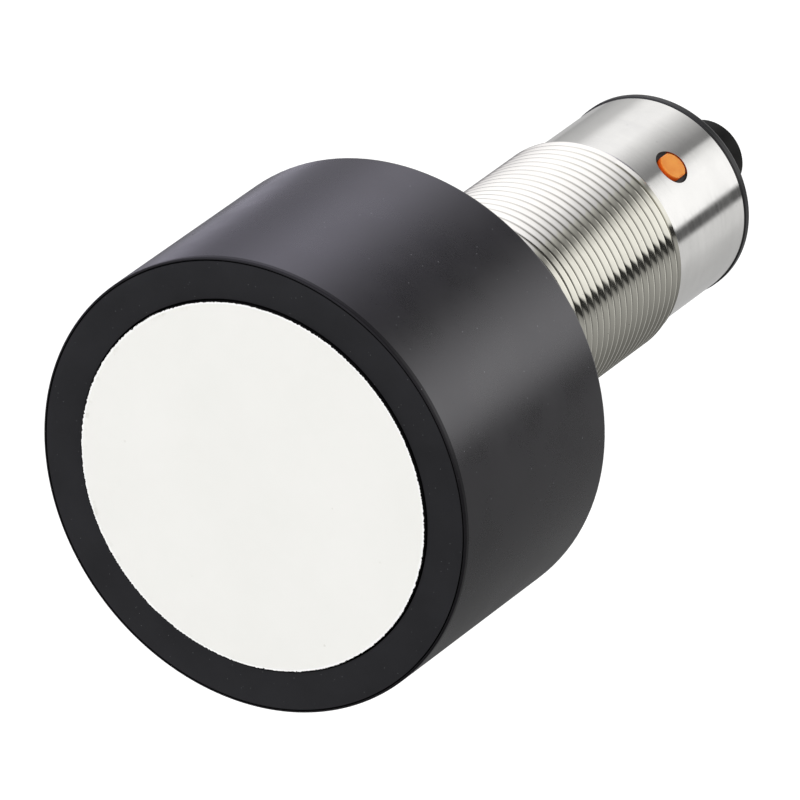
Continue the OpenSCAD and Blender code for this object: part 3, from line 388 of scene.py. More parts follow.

# %% [markdown]
# The thread and the smooth stretch of the sleeve come off the same bar, yet they don't look alike:
# in the photo the flanks of the thread are a little warmer and brighter, and its roots are dark
# lines. So there are two nickels, and the one for the thread gets painted shade by radius in its roots.

# %% Metals
nickel_smooth = turned("nickel_smooth", (0.83, 0.82, 0.80), 0.10, ring_mm=0.06,
                       ring_depth_mm=0.0007, blot=0.04)
nickel_thread = turned("nickel_thread", (0.83, 0.81, 0.72), 0.06, ring_depth_mm=0.0004, blot=0.03)
# Painted shade in the thread's roots, where hardly any light comes back out.
ROOT_PAINTED_SHADE = (0.045, 0.043, 0.038)
tone_by_radius(nickel_thread, ROOT_PAINTED_SHADE, [(14.0, 0.95), (14.28, 0.95), (14.52, 0.0), (15.0, 0.0)])
gold_finish = turned("gold_finish", (0.95, 0.70, 0.30), 0.18, ring_mm=0.08, ring_depth_mm=0.0003)
steel_finish = turned("steel_finish", (0.56, 0.55, 0.53), 0.28, ring_mm=0.06)
brass_finish = turned("brass_finish", (0.78, 0.60, 0.28), 0.25, ring_mm=0.06)
aluminium_finish = turned("aluminium_finish", (0.80, 0.80, 0.81), 0.30, ring_mm=0.07,
                          ring_depth_mm=0.0008)
print("materials so far:", len(bpy.data.materials))

# %% [markdown]
# ## Sheet metal, ferrite, foam and ceramic
# Most of these parts are inside the sensor. They still get the surface that they have on a bench,
# so that the model can be opened. Each is a small variation on the same idea: a base colour, one
# noise at the size of its real grain, and a bump that follows that noise.

# %% Grained finishes of the inner parts
def grained(name, colour, other, grain_mm, depth_mm, roughness, metallic=0.0, gloss=0.5,
            stretch=(1.0, 1.0, 1.0)):
    """Two close colours mixed by a noise at the grain's size, with a bump from the same noise."""
    material, tree, shader = start_material(name, roughness, metallic, gloss)
    grain = cloud(tree, place_in_mm(tree, stretch), grain_mm, 4.0, 0.6)
    share = spread(tree, grain, 0.35, 0.65, 0.0, 1.0)
    feed(shader, "Base Color", mixed_colour(tree, share, colour, other))
    feed(shader, "Roughness", spread(tree, grain, 0.2, 0.8, roughness - 0.08, roughness + 0.08))
    relief(tree, shader, grain, depth_mm)
    return material


tinplate_finish = grained("tinplate_finish", (0.72, 0.71, 0.69), (0.62, 0.62, 0.62), grain_mm=0.7,
                          depth_mm=0.002, roughness=0.30, metallic=1.0)
capacitor_finish = grained("capacitor_finish", (0.70, 0.70, 0.72), (0.60, 0.61, 0.63), grain_mm=0.5,
                           depth_mm=0.002, roughness=0.33, metallic=1.0, stretch=(1.0, 1.0, 0.1))
ferrite_finish = grained("ferrite_finish", (0.034, 0.033, 0.036), (0.060, 0.058, 0.060), grain_mm=0.12,
                         depth_mm=0.006, roughness=0.62)
foam_finish = grained("foam_finish", (0.060, 0.057, 0.052), (0.026, 0.025, 0.023), grain_mm=0.45,
                      depth_mm=0.120, roughness=0.9, gloss=0.2)
piezo_finish = grained("piezo_finish", (0.60, 0.49, 0.34), (0.50, 0.41, 0.29), grain_mm=0.3,
                       depth_mm=0.004, roughness=0.5)
lamp_finish = grained("lamp_finish", (0.80, 0.74, 0.48), (0.72, 0.64, 0.36), grain_mm=0.6,
                      depth_mm=0.002, roughness=0.15)
print("materials so far:", len(bpy.data.materials))

# %% [markdown]
# ## Wound wire and circuit boards
# Two inner surfaces have a regular pattern, where noise would look wrong. A winding shows its turns
# as close ridges, so it takes a band texture along Y. A board shows a faint weave with straight
# tracks on it, and a checker and a brick texture are near enough to both.

# %% Copper winding and green board
def wound_copper():
    """Enamelled wire in close turns, each a small round ridge, with painted shade between turns and a
    painted highlight on top.
    """
    material, tree, shader = start_material("wound_copper", 0.28, 1.0)
    turns = add_node(tree, "ShaderNodeTexWave", wave_type="BANDS", bands_direction="Y")
    turns.inputs["Scale"].default_value = 0.9
    turns.inputs["Distortion"].default_value = 0.4
    tree.links.new(place_in_mm(tree), turns.inputs["Vector"])
    # Painted shade and highlight: the colour follows the ridges, dark between turns and bright on top.
    feed(shader, "Base Color",
         mixed_colour(tree, turns.outputs["Fac"], (0.35, 0.12, 0.05), (0.86, 0.40, 0.19)))
    relief(tree, shader, turns.outputs["Fac"], 0.08)
    return material


def green_board():
    """Lacquered glass-fibre board: a faint weave below the lacquer and tracks just proud of it."""
    material, tree, shader = start_material("green_board", 0.32)
    point = place_in_mm(tree)
    weave = add_node(tree, "ShaderNodeTexChecker")
    weave.inputs["Scale"].default_value = 2.2
    tree.links.new(point, weave.inputs["Vector"])
    tracks = add_node(tree, "ShaderNodeTexBrick")
    tracks.inputs["Scale"].default_value = 0.28
    tracks.inputs["Mortar Size"].default_value = 0.035
    tree.links.new(point, tracks.inputs["Vector"])
    base = mixed_colour(tree, weave.outputs["Fac"], (0.020, 0.120, 0.050), (0.026, 0.140, 0.060))
    feed(shader, "Base Color", mixed_colour(tree, tracks.outputs["Fac"], base, (0.035, 0.200, 0.085)))
    relief(tree, shader, tracks.outputs["Fac"], 0.03)
    return material


copper_finish = wound_copper()
board_finish = green_board()
print("materials so far:", len(bpy.data.materials))

# %% [markdown]
# ## The white matching disc
# The front disc is a resin filled with glass bubbles. It is cut from a sheet with a coarse tool, so
# its face is chalky and its edge is ragged by about a tenth of a millimetre. The edge shape belongs
# in the mesh, where it casts a real outline against the dark ring. The chalky face belongs in the
# material: a pale colour with a faint cloud in it, some grey rub marks near the lower left edge, and
# a grain too fine to see one by one. A narrow rim is whiter in the photo, and the radius marks it.

# %% Finish of the white disc
def disc_white_finish():
    """Chalky white with a faint cloud, rub marks near the lower left edge and a very fine grain."""
    material, tree, shader = start_material("disc_white_finish", 0.72, 0.0, 0.25)
    point = place_in_mm(tree)
    broad = cloud(tree, point, 14.0, 5.0, 0.6)
    white = mixed_colour(tree, spread(tree, broad, 0.3, 0.7, 0.0, 1.0),
                         (0.855, 0.852, 0.818), (0.882, 0.876, 0.846))
    split = add_node(tree, "ShaderNodeSeparateXYZ")
    tree.links.new(point, split.inputs[0])
    near_edge = spread(tree, from_axis(tree, point), 24.2, 25.2, 0.0, 1.0)
    blots = spread(tree, cloud(tree, point, 1.7, 5.0, 0.65, 0.6), 0.55, 0.72, 0.0, 1.0)
    sideways = combined(tree, split.outputs["X"], split.outputs["Z"])
    low_left = spread(tree, sideways, 4.0, -22.0, 0.0, 0.85)
    rubbed = combined(tree, combined(tree, near_edge, blots, "MULTIPLY"), low_left, "MULTIPLY")
    marked = mixed_colour(tree, rubbed, white, (0.52, 0.50, 0.42))
    specks = dust(tree, point, 1.3, 0.008)
    feed(shader, "Base Color", mixed_colour(tree, specks, marked, (0.64, 0.63, 0.58)))
    fine = cloud(tree, point, 0.12, 3.0, 0.7)
    feed(shader, "Roughness", spread(tree, fine, 0.2, 0.8, 0.66, 0.80))
    relief(tree, shader, fine, 0.008)
    return material


disc_finish = disc_white_finish()
RIM_WHITE = (0.97, 0.97, 0.96)
tone_by_radius(disc_finish, RIM_WHITE, [(24.0, 0.0), (24.86, 0.0), (24.94, 0.9), (25.4, 0.9)])
print("disc finish has", len(disc_finish.node_tree.nodes), "nodes")

# %% [markdown]
# ## Hand the finishes to the CAD parts
# Each CAD part came in with a plain colour in its material slot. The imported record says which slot
# every part belongs to, so one table from slot to finish dresses them all, and no part is missed.

# %% Dress the CAD parts
FINISHES = {
    "head_plastic": head_black, "ring_rubber": ring_charcoal, "disc_resin": disc_finish,
    "nickel": nickel_smooth, "key_orange": key_finish, "guide_grey": guide_finish,
    "cap_black": cap_black_finish, "plug_black": plug_black_finish, "insert_black": insert_finish,
    "gold": gold_finish, "seal_rubber": seal_finish, "piezo": piezo_finish,
    "aluminium": aluminium_finish, "foam": foam_finish, "tinplate": tinplate_finish,
    "copper": copper_finish, "board_green": board_finish, "steel": steel_finish,
    "film_red": film_finish, "chip_black": chip_finish, "bead_blue": bead_finish,
    "ferrite": ferrite_finish, "cream_plastic": cream_finish, "brass": brass_finish,
    "carrier_plastic": carrier_finish, "capacitor_metal": capacitor_finish,
    "chip_brown": chip_brown_finish, "lamp_clear": lamp_finish}
dressed = 0
for part in frame["record"]["subparts"]:
    for holder in nodes[part["node"]].material_slots:
        holder.material = FINISHES[part["material_slot"]]
        dressed += 1
print("material slots dressed:", dressed)

# %% [markdown]
# ## Turning a profile
# Nearly everything here is turned, so the basic tool is a lathe: a list of points, each with a
# radius and a place along the axis, swept round Y. Blender's Screw modifier could do it, but with
# our own rings of vertices the thread, which isn't a plain turning, can be joined to the same rings.

# %% A lathe for meshes
def on_circle(radius_mm, angle, along_mm):
    """The point at a radius, an angle and a place along the Y axis, in metres."""
    return radius_mm * math.cos(angle) * MM, along_mm * MM, radius_mm * math.sin(angle) * MM


def ring_of_points(mesh, radius_mm, along_mm, count):
    """One ring of vertices about Y. The radius may be a number or a function of the angle."""
    made = []
    for step in range(count):
        angle = 2.0 * math.pi * step / count
        radius = radius_mm(angle) if callable(radius_mm) else radius_mm
        made.append(mesh.verts.new(on_circle(radius, angle, along_mm)))
    return made


def skin_between(mesh, first, second):
    """Joins two rings of the same count with four-sided faces."""
    count = len(first)
    for step in range(count):
        after = (step + 1) % count
        mesh.faces.new((first[step], first[after], second[after], second[step]))


def turned_skin(mesh, profile_mm, count):
    """Sweeps a list of (radius, station) round the axis."""
    rings = [ring_of_points(mesh, radius, along, count) for radius, along in profile_mm]
    for first, second in zip(rings, rings[1:]):
        skin_between(mesh, first, second)


print("lathe is ready")

# %% [markdown]
# A mesh becomes a piece of the scene when its coinciding points are welded, its faces all look
# outwards, and it is smooth everywhere except where two faces meet at a clear angle. Some pieces
# carry two finishes, and the second one goes to the faces that pass a test of their place.

# %% From mesh to object
SHARP_ANGLE = 28.0


def object_from(mesh, name):
    """Puts a mesh into the scene as an object."""
    data = bpy.data.meshes.new(name)
    mesh.to_mesh(data)
    mesh.free()
    made = bpy.data.objects.new(name, data)
    scene.collection.objects.link(made)
    return made


def finished_object(mesh, name, material, sharp_angle=SHARP_ANGLE):
    """Welds the points that coincide, turns the faces outwards and makes an object of the mesh."""
    bmesh.ops.remove_doubles(mesh, verts=mesh.verts, dist=0.0002 * MM)
    bmesh.ops.recalc_face_normals(mesh, faces=mesh.faces)
    made = object_from(mesh, name)
    for face in made.data.polygons:
        face.use_smooth = True
    made.data.set_sharp_from_angle(angle=math.radians(sharp_angle))
    made.data.materials.append(material)
    print(name, "has", len(made.data.polygons), "faces")
    return made


def radius_of(point):
    """Distance of a mesh point from the Y axis, in millimetres."""
    return math.hypot(point.x, point.z) / MM


def finish_faces(piece, material, wanted):
    """Gives a second finish to the faces whose (radius, station) in mm pass a test."""
    piece.data.materials.append(material)
    count = 0
    for face in piece.data.polygons:
        if wanted(radius_of(face.center), face.center.y / MM):
            face.material_index = 1
            count += 1
    return count


print("faces meeting at more than", SHARP_ANGLE, "degrees stay sharp")

# %% [markdown]
# ## A screw thread
# A thread is a groove that winds round the rod, one pitch further on with each turn. Its outline
# along one pitch is a narrow crest, two straight flanks and a flat root with its corners taken off.
# All of these are fixed shares of the pitch, so one list serves both threads here.

# %% The outline of a thread
def read_between(stops, place_on_list):
    """The value of a list of (place, value) stops, on the line between the two nearest."""
    for (before, low), (after, high) in zip(stops, stops[1:]):
        if before <= place_on_list <= after:
            return low + (high - low) * (place_on_list - before) / (after - before)
    return stops[0][1]


def thread_outline(pitch):
    """One pitch of a thread as (station, drop below the crest), from one crest to the next."""
    flat, tip = pitch * 0.053, pitch * 0.087
    floor, floor_edge = pitch * 0.467, pitch * 0.420
    rounding, depth = 0.024 * pitch, 0.613 * pitch
    return [(-tip, -rounding), (-flat, 0.0), (flat, 0.0), (tip, -rounding),
            (floor_edge, -0.975 * depth), (floor, -depth), (pitch - floor, -depth),
            (pitch - floor_edge, -0.975 * depth), (pitch - tip, -rounding)]


print("thread of 1.5 mm pitch is", round(-min(drop for _, drop in thread_outline(1.5)), 3), "mm deep")

# %% [markdown]
# Cutting the groove with a Boolean is slow and leaves ragged faces. Here the mesh is woven along the
# helix instead: each row of points starts at one station of the outline and slides back by one pitch
# in a turn, so crests and roots run along rows and stay crisp. Rows that would pass an end of the
# thread stop there, and near each end the thread fades into the plain metal, as a cutting tool
# leaves it.

# %% Weave a thread along its helix
def thread_rows(crest_r, pitch, start, end, start_r, end_r, fade_in, fade_out, count, phase=0.0):
    """Rows of (radius, angle, station), and how many of them there are in one turn.

    The two ends are plain rings of start_r and end_r. The phase, from minus one pitch to 0, slides
    the whole helix along the rod."""
    outline = thread_outline(pitch)
    tip = -outline[0][0]

    def radius_at(angle, along):
        shift = (along - phase + pitch * angle / (2.0 * math.pi) + tip) % pitch - tip
        radius = crest_r + read_between(outline, shift)
        entry = min(1.0, max(0.0, (along - start) / fade_in))
        radius = start_r + (radius - start_r) * entry * entry * (3.0 - 2.0 * entry)
        if along > end - fade_out:
            radius = min(radius, crest_r + (end_r - crest_r) * (along - end + fade_out) / fade_out)
        return max(radius, end_r) if along >= end else radius

    stations = []
    turn = 0
    while start + (turn - 1) * pitch < end + pitch:
        stations += [start + phase + turn * pitch + x for x, _ in outline[:-1]]
        turn += 1
    rows = []
    for station in stations:
        row = []
        for step in range(count):
            angle = 2.0 * math.pi * step / count
            along = min(end, max(start, station - pitch * step / count))
            row.append((radius_at(angle, along), angle, along))
        rows.append(row)
    return rows, len(outline) - 1


def weave_thread(mesh, start, start_r, count, **shape):
    """Adds the skin of an outer thread to the mesh, and returns how many rows it has."""
    rows, per_turn = thread_rows(start=start, start_r=start_r, count=count, **shape)
    points = [[mesh.verts.new(on_circle(*spot)) for spot in row] for row in rows]
    closing = [mesh.verts.new((start_r * MM, start * MM, 0.0)) for _ in range(per_turn)]
    one_turn_back = closing + [row[0] for row in points]
    woven = [row + [last] for row, last in zip(points, one_turn_back)]
    for lower, upper in zip(woven, woven[1:]):
        for step in range(count):
            mesh.faces.new((lower[step], lower[step + 1], upper[step + 1], upper[step]))
    return len(points)


print("thread tools are ready")

# %% [markdown]
# ## The threaded sleeve
# The sleeve is one turned tube. Its slotted front end sits in the head, then come the long M30 x 1.5
# thread and the smooth stretch with the hole of the teach key. The thread is woven first, and the
# rest is turned on to its two end rings.

# %% Turn the sleeve
SLEEVE_STEPS = 192
SLEEVE_R, BORE_R, SLEEVE_END = 14.0, 12.7, 67.2
WINDOW_START, WINDOW_END = 52.9, 59.9
THREAD_END, THREAD_FINISH_END = 50.0, 49.0
sleeve_mesh = bmesh.new()
rows = weave_thread(sleeve_mesh, crest_r=14.95, pitch=1.5, start=0.0, end=THREAD_END, start_r=14.6,
                    end_r=SLEEVE_R, fade_in=1.1, fade_out=1.6, count=SLEEVE_STEPS, phase=-0.55)
turned_skin(sleeve_mesh, [
    (14.6, 0.0), (14.6, -1.0), (SLEEVE_R, -1.0), (SLEEVE_R, -10.0), (13.3, -10.0), (13.3, -11.0),
    (SLEEVE_R, -11.0), (SLEEVE_R, -12.1), (13.6, -12.5), (BORE_R, -12.5), (BORE_R, WINDOW_START),
    (BORE_R, WINDOW_END), (BORE_R, SLEEVE_END), (13.85, SLEEVE_END), (13.96, 67.16), (SLEEVE_R, 67.05),
    (SLEEVE_R, WINDOW_END), (SLEEVE_R, WINDOW_START), (SLEEVE_R, THREAD_END)], SLEEVE_STEPS)
sleeve = finished_object(sleeve_mesh, "threaded_sleeve", nickel_smooth)
print("rows of the thread:", rows)

# %% [markdown]
# The hole of the key and the slot of the front end are cut with a Boolean, because a round hole
# through a curved wall is what that tool does best. The profile above has an extra ring on each side
# of the hole, which keeps the long faces of the cut short.

# %% Cut the hole and the slot
def block_mesh(mesh, low_mm, high_mm):
    """Adds a box between two corners, in millimetres."""
    centre = Vector([(a + b) / 2.0 for a, b in zip(low_mm, high_mm)]) * MM
    sizes = [(b - a) * MM for a, b in zip(low_mm, high_mm)]
    where = Matrix.Translation(centre) @ Matrix.Diagonal((*sizes, 1.0))
    bmesh.ops.create_cube(mesh, size=1.0, matrix=where)


def upright_rod_mesh(mesh, radius_mm, x_mm, y_mm, low_mm, high_mm, count=96):
    """Adds an upright round rod."""
    where = Matrix.Translation(Vector((x_mm, y_mm, (low_mm + high_mm) / 2.0)) * MM)
    bmesh.ops.create_cone(mesh, cap_ends=True, segments=count, radius1=radius_mm * MM,
                          radius2=radius_mm * MM, depth=(high_mm - low_mm) * MM, matrix=where)


def cut_away(piece, cutter_mesh):
    """Takes the cutter's shape out of the piece and throws the cutter away."""
    cutter = object_from(cutter_mesh, "cutter")
    step = piece.modifiers.new("cut", "BOOLEAN")
    step.operation = "DIFFERENCE"
    step.solver = "EXACT"
    step.object = cutter
    graph = bpy.context.evaluated_depsgraph_get()
    result = bpy.data.meshes.new_from_object(piece.evaluated_get(graph))
    piece.modifiers.clear()
    piece.data = result
    bpy.data.meshes.remove(cutter.data)


KEY_Y, KEY_HOLE_R = 56.4, 2.5
holes = bmesh.new()
upright_rod_mesh(holes, KEY_HOLE_R, 0.0, KEY_Y, 5.0, 17.0)
block_mesh(holes, (-1.05, -14.0, -16.0), (1.05, -8.75, -8.0))
cut_away(sleeve, holes)
sleeve.data.set_sharp_from_angle(angle=math.radians(SHARP_ANGLE))
print("sleeve faces after cutting:", len(sleeve.data.polygons))

# %% [markdown]
# The smooth stretch is the most mirror-like part of the picture, and there every error of shading
# shows. A Boolean leaves long thin faces round the hole whose averaged normals are slightly wrong,
# so the true normal of a cylinder is written on them.

# %% True normals for the round walls
def true_round(piece, stretches):
    """Sets exact normals on round walls: each stretch is (radius, low station, high station, sign)."""
    data = piece.data
    points = [point.co for point in data.vertices]
    normals = [(0.0, 0.0, 0.0)] * len(data.loops)
    mended = 0
    for face in data.polygons:
        corners = [points[number] for number in face.vertices]
        for radius, low, high, sign in stretches:
            if all(abs(radius_of(c) - radius) < 0.012 and low - 0.01 <= c.y / MM <= high + 0.01
                   for c in corners):
                for loop in face.loop_indices:
                    corner = points[data.loops[loop].vertex_index]
                    reach = math.hypot(corner.x, corner.z)
                    normals[loop] = (sign * corner.x / reach, 0.0, sign * corner.z / reach)
                mended += 1
                break
    data.normals_split_custom_set(normals)
    return mended


walls = true_round(sleeve, [(SLEEVE_R, THREAD_END, 67.05, 1.0), (BORE_R, WINDOW_START, SLEEVE_END, -1.0)])
print("faces with true normals:", walls)

# %% [markdown]
# The thread's own finish goes to its faces, which are found by their place along the axis and by
# their radius, so that the bore behind them keeps the plain nickel. The new piece then takes the
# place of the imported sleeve, with the same slot and on the same body.

# %% Give the thread its own finish
THREAD_MIN_R = 13.5
thread_faces = finish_faces(sleeve, nickel_thread, lambda radius, along: (
    0.0 <= along <= THREAD_FINISH_END and radius > THREAD_MIN_R))
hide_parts("sleeve")
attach(sleeve, "sensor")
print("faces of the thread:", thread_faces)

# %% [markdown]
# ## The plug
# The plug is a black moulding with an M12 x 1 thread, so a coded cable socket can be screwed on. It
# takes the same tools as the sleeve: the thread is woven, and the rest is turned on to it.

# %% Turn the plug
PLUG_STEPS = 96
PLUG_THREAD_START, PLUG_THREAD_END = 71.0, 78.6
plug_mesh = bmesh.new()
plug_rows = weave_thread(plug_mesh, crest_r=5.94, pitch=1.0, start=PLUG_THREAD_START, end=PLUG_THREAD_END,
                         start_r=5.25, end_r=5.15, fade_in=0.5, fade_out=0.6, count=PLUG_STEPS)
turned_skin(plug_mesh, [
    (5.15, PLUG_THREAD_END), (5.15, 82.6), (5.13, 82.72), (5.06, 82.82), (4.96, 82.88), (4.85, 82.9),
    (4.42, 82.9), (4.33, 82.86), (4.3, 82.78), (4.3, 67.2), (5.17, 67.2), (5.17, 65.2), (6.95, 65.2),
    (6.95, 68.5), (8.94, 68.5), (9.0, 68.56), (9.0, 70.0), (8.95, 70.14), (8.84, 70.25), (8.7, 70.3),
    (5.32, 70.3), (5.25, 70.36), (5.25, PLUG_THREAD_START)], PLUG_STEPS)
plug = finished_object(plug_mesh, "threaded_plug", plug_black_finish)
print("rows of the plug's thread:", plug_rows)

# %% [markdown]
# Two flats on the collar hold the plug with a spanner. The rib inside its mouth is the key that lets
# the mating connector in one way only. It stands a little way into the wall, so it is simply added
# to the mesh.

# %% Flats and coding rib
COLLAR_R, FLAT_X = 9.0, 8.2
flats = bmesh.new()
for side in (1.0, -1.0):
    near, far = sorted((side * FLAT_X, side * (COLLAR_R + 1.0)))
    block_mesh(flats, (near, 68.4, -10.0), (far, 70.6, 10.0))
cut_away(plug, flats)
coding = bmesh.new()
coding.from_mesh(plug.data)
block_mesh(coding, (-0.55, 74.0, 3.5), (0.55, 81.5, 4.42))
coding.to_mesh(plug.data)
coding.free()
plug.data.set_sharp_from_angle(angle=math.radians(SHARP_ANGLE))
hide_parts("plug_body")
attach(plug, "sensor")
print("plug faces:", len(plug.data.polygons))

# %% [markdown]
# ## The face ring and the edge of the head
# Seen from the front, the charcoal ring ends in a hair-thin black line, and outside that line the
# edge of the head is rounded. A line that thin needs a real groove: a painted one would look flat
# when the light moves, though the groove also gets painted shade in the ring's material. The ring is
# turned from one profile, and the faces outside the groove take the duller finish of the head, so the
# eye reads them as its rim. A narrow gap is left round the disc.

# %% Make the face ring
RING_STEPS = 360
RING_FRONT, RING_BACK = -36.0, -22.85
GROOVE_IN_R, GROOVE_OUT_R, GROOVE_FLOOR = 30.56, 30.71, -35.50
RIM_MIN_R = 30.715
rim_arc = [(30.74 + 0.26 * math.cos(math.radians(a)), -35.74 + 0.26 * math.sin(math.radians(a)))
           for a in (-90, -74, -58, -42, -26, -12, 0)]
ring_mesh = bmesh.new()
turned_skin(ring_mesh, [
    (22.5, -24.35), (25.4, -24.35), (25.4, -35.0), (25.4, -35.85), (25.44, -35.95), (25.47, -35.99),
    (25.53, RING_FRONT), (27.0, RING_FRONT), (29.0, RING_FRONT), (30.48, RING_FRONT), (30.53, -35.985),
    (GROOVE_IN_R, -35.93), (GROOVE_IN_R, GROOVE_FLOOR), (GROOVE_OUT_R, GROOVE_FLOOR),
    (GROOVE_OUT_R, -35.93), *rim_arc, (31.0, -35.60), (31.0, -35.21), (GROOVE_OUT_R, GROOVE_FLOOR),
    (28.5, -35.52), (28.5, RING_BACK), (22.5, RING_BACK), (22.5, -24.35)], RING_STEPS)
ring = finished_object(ring_mesh, "soft_ring", ring_charcoal, 40.0)
rim_faces = finish_faces(ring, rim_black, lambda radius, along: radius > RIM_MIN_R and along < -35.0)
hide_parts("face_ring")
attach(ring, "sensor")
print("faces of the rim:", rim_faces)

# %% [markdown]
# ## The disc with its cut edge
# A perfect circle would look like a printed spot. The real disc was cut by a tool that tore the
# filled resin: its outline wanders by a few hundredths of a millimetre and has small nicks. Layers
# of noise, read round the circle, give that edge. The noise is read at a point on a circle, not at an
# angle, so that it closes without a step.

# %% The torn edge
DISC_EDGE = 25.14


def edge_wander(angle, seed, size, share):
    """Noise read on a circle, so that it joins up with itself."""
    return share * noise.noise(Vector((size * math.cos(angle), size * math.sin(angle), seed)))


def torn_edge(angle):
    """Radius of the cut edge: slow wander, fine tearing and a few deeper nicks."""
    slow = edge_wander(angle, 3.1, 6.0, 0.04)
    fine = edge_wander(angle, 7.7, 70.0, 0.06) + edge_wander(angle, 12.4, 170.0, 0.10)
    nick = max(0.0, edge_wander(angle, 21.9, 110.0, 1.0) - 0.36) * 0.30
    return min(DISC_EDGE + 0.11, DISC_EDGE + slow + fine - nick)


tried = [torn_edge(math.radians(angle)) for angle in range(360)]
print("cut edge runs from", round(min(tried), 3), "to", round(max(tried), 3), "mm")

# %% [markdown]
# The disc is built of rings, like a turning, but the rings near the edge follow the torn outline. In
# the photo the disc's side can't be told from the dark gap round it, so its faces take the ring's
# material, whose tone by radius paints them nearly black: painted shade.

# %% Make the white disc
DISC_STEPS = 1800
DISC_R, DISC_FRONT, DISC_BACK = 25.25, -36.35, -30.35
disc_mesh = bmesh.new()
front_centre = disc_mesh.verts.new((0.0, DISC_FRONT * MM, 0.0))
rings = [ring_of_points(disc_mesh, radius, along, DISC_STEPS) for radius, along in (
    (12.0, DISC_FRONT), (21.0, DISC_FRONT), (24.4, DISC_FRONT),
    (lambda angle: torn_edge(angle) - 0.05, DISC_FRONT),
    (lambda angle: torn_edge(angle) - 0.02, DISC_FRONT),
    (torn_edge, DISC_FRONT + 0.015), (torn_edge, DISC_FRONT + 0.24),
    (DISC_R, DISC_FRONT + 0.6), (DISC_R, DISC_BACK))]
for first, second in zip(rings[0], rings[0][1:] + rings[0][:1]):
    disc_mesh.faces.new((front_centre, first, second))
for inner, outer in zip(rings, rings[1:]):
    skin_between(disc_mesh, inner, outer)
disc_mesh.faces.new(rings[-1])
disc = finished_object(disc_mesh, "cut_disc", disc_finish)
# Painted shade: the disc's side takes the ring's material, mixed nearly black at this radius.
shaded_side_faces = finish_faces(disc, ring_charcoal, lambda radius, along: (
    DISC_FRONT + 0.01 < along < DISC_BACK - 0.1))
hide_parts("matching_disc")
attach(disc, "sensor")
print("faces of the disc's side:", shaded_side_faces)

# %% [markdown]
# ## The studio
# Black plastic and bright metal show mostly what stands round them, so the studio is what draws
# them. The room and its floor are white. The white comes from the rays that the camera and mirrors
# send, and not from more light, so the sensor itself is lit at a plain level.

# %% White room and pale floor
def whiter_for_mirrors(tree):
    """1 for rays that come from the camera or from a mirror or glass, 0 for the others."""
    rays = add_node(tree, "ShaderNodeLightPath")
    seen = combined(tree, rays.outputs["Is Camera Ray"], rays.outputs["Is Glossy Ray"], "MAXIMUM")
    return combined(tree, seen, rays.outputs["Is Transmission Ray"], "MAXIMUM")


ROOM_LIGHT, FLOOR_GLOW, FLOOR_Z = 0.55, 0.4, -0.35
room = bpy.data.worlds.new("white_room")
scene.world = room
room.use_nodes = True
sky = room.node_tree.nodes["Background"]
sky.inputs["Color"].default_value = (1.0, 1.0, 1.0, 1.0)
feed(sky, "Strength",
     spread(room.node_tree, whiter_for_mirrors(room.node_tree), 0.0, 1.0, ROOM_LIGHT, 1.0))

floor_mesh = bmesh.new()
bmesh.ops.create_grid(floor_mesh, x_segments=1, y_segments=1, size=6.0)
floor = object_from(floor_mesh, "pale_floor")
floor.location = (0.0, 0.0, FLOOR_Z)
floor_finish, floor_tree, floor_shader = start_material("floor_finish", 0.9, 0.0, 0.0)
floor_shader.inputs["Base Color"].default_value = (0.86, 0.86, 0.86, 1.0)
floor_shader.inputs["Emission Color"].default_value = (1.0, 1.0, 1.0, 1.0)
feed(floor_shader, "Emission Strength",
     spread(floor_tree, whiter_for_mirrors(floor_tree), 0.0, 1.0, 0.0, FLOOR_GLOW))
floor.data.materials.append(floor_finish)
print("room and floor are ready")

# %% [markdown]
# ## A tunnel of paper
# A shiny round part is often photographed inside a tunnel of white paper with grey strips on it. Each
# line along the metal mirrors one line of the tunnel, so a strip of paper becomes a band on the part.
# The lists below paint the tunnel round the axis, by the angle in degrees from the sensor's right
# side (+X) up towards its top (+Z). Its far end is what the tube mirrors, the middle is what the head
# mirrors, and the flanks of the thread look back to the front end. The upper left is slightly cooler,
# as the photo's reflections are. The shades were changed until the bands on the part came
# near the photo's, so they belong to this studio and not to the sensor.

# %% Shades of the paper
FAR_BANDS = [
    (-130, 0.52), (-85, 0.52), (-60, 0.48), (-26, 0.51), (-10, 0.57), (4, 0.70), (22, 0.75), (27, 0.10),
    (37, 0.10), (42, 1.17), (74, 1.16), (86, 1.06), (96, 0.74), (100, 0.23), (108, 0.27), (121, 0.48),
    (131, 0.68), (142, 0.92), (150, 1.06), (172, 1.03), (180, 0.96), (193, 0.62), (211, 0.51), (230, 0.38)]
MIDDLE_BANDS = [
    (-130, 0.20), (-74, 0.20), (-45, 0.22), (-12, 0.20), (24, 0.17), (36, 0.18), (44, 0.46), (50, 1.10),
    (57, 1.42), (68, 1.40), (80, 0.86), (92, 0.34), (102, 0.12), (115, 0.12), (131, 0.32), (142, 0.62),
    (151, 0.96), (166, 0.98), (180, 0.58), (193, 0.38), (214, 0.38), (222, 1.05), (230, 1.05)]
FRONT_BANDS = [
    (-130, 0.60), (-72, 0.60), (-45, 0.06), (-36, 0.08), (-15, 0.18), (5, 0.31), (22, 0.39), (29, 0.28),
    (32, 0.03), (40, 0.03), (43.5, 0.92), (57, 1.03), (75, 0.98), (83, 0.66), (90, 0.30), (95, 0.25),
    (101, 0.38), (107, 0.62), (125, 1.12), (136, 1.24), (148, 1.33), (188, 1.30), (198, 1.18),
    (201, 0.30), (230, 0.60)]
FIRST_ANGLE, LAST_ANGLE, COOL_FROM = -130, 230, 105
WHITE_PAPER, COOL_PAPER, PALE_BLUE_PAPER = (1.0, 1.0, 1.0), (1.03, 1.00, 1.18), (1.0, 1.0, 1.1)


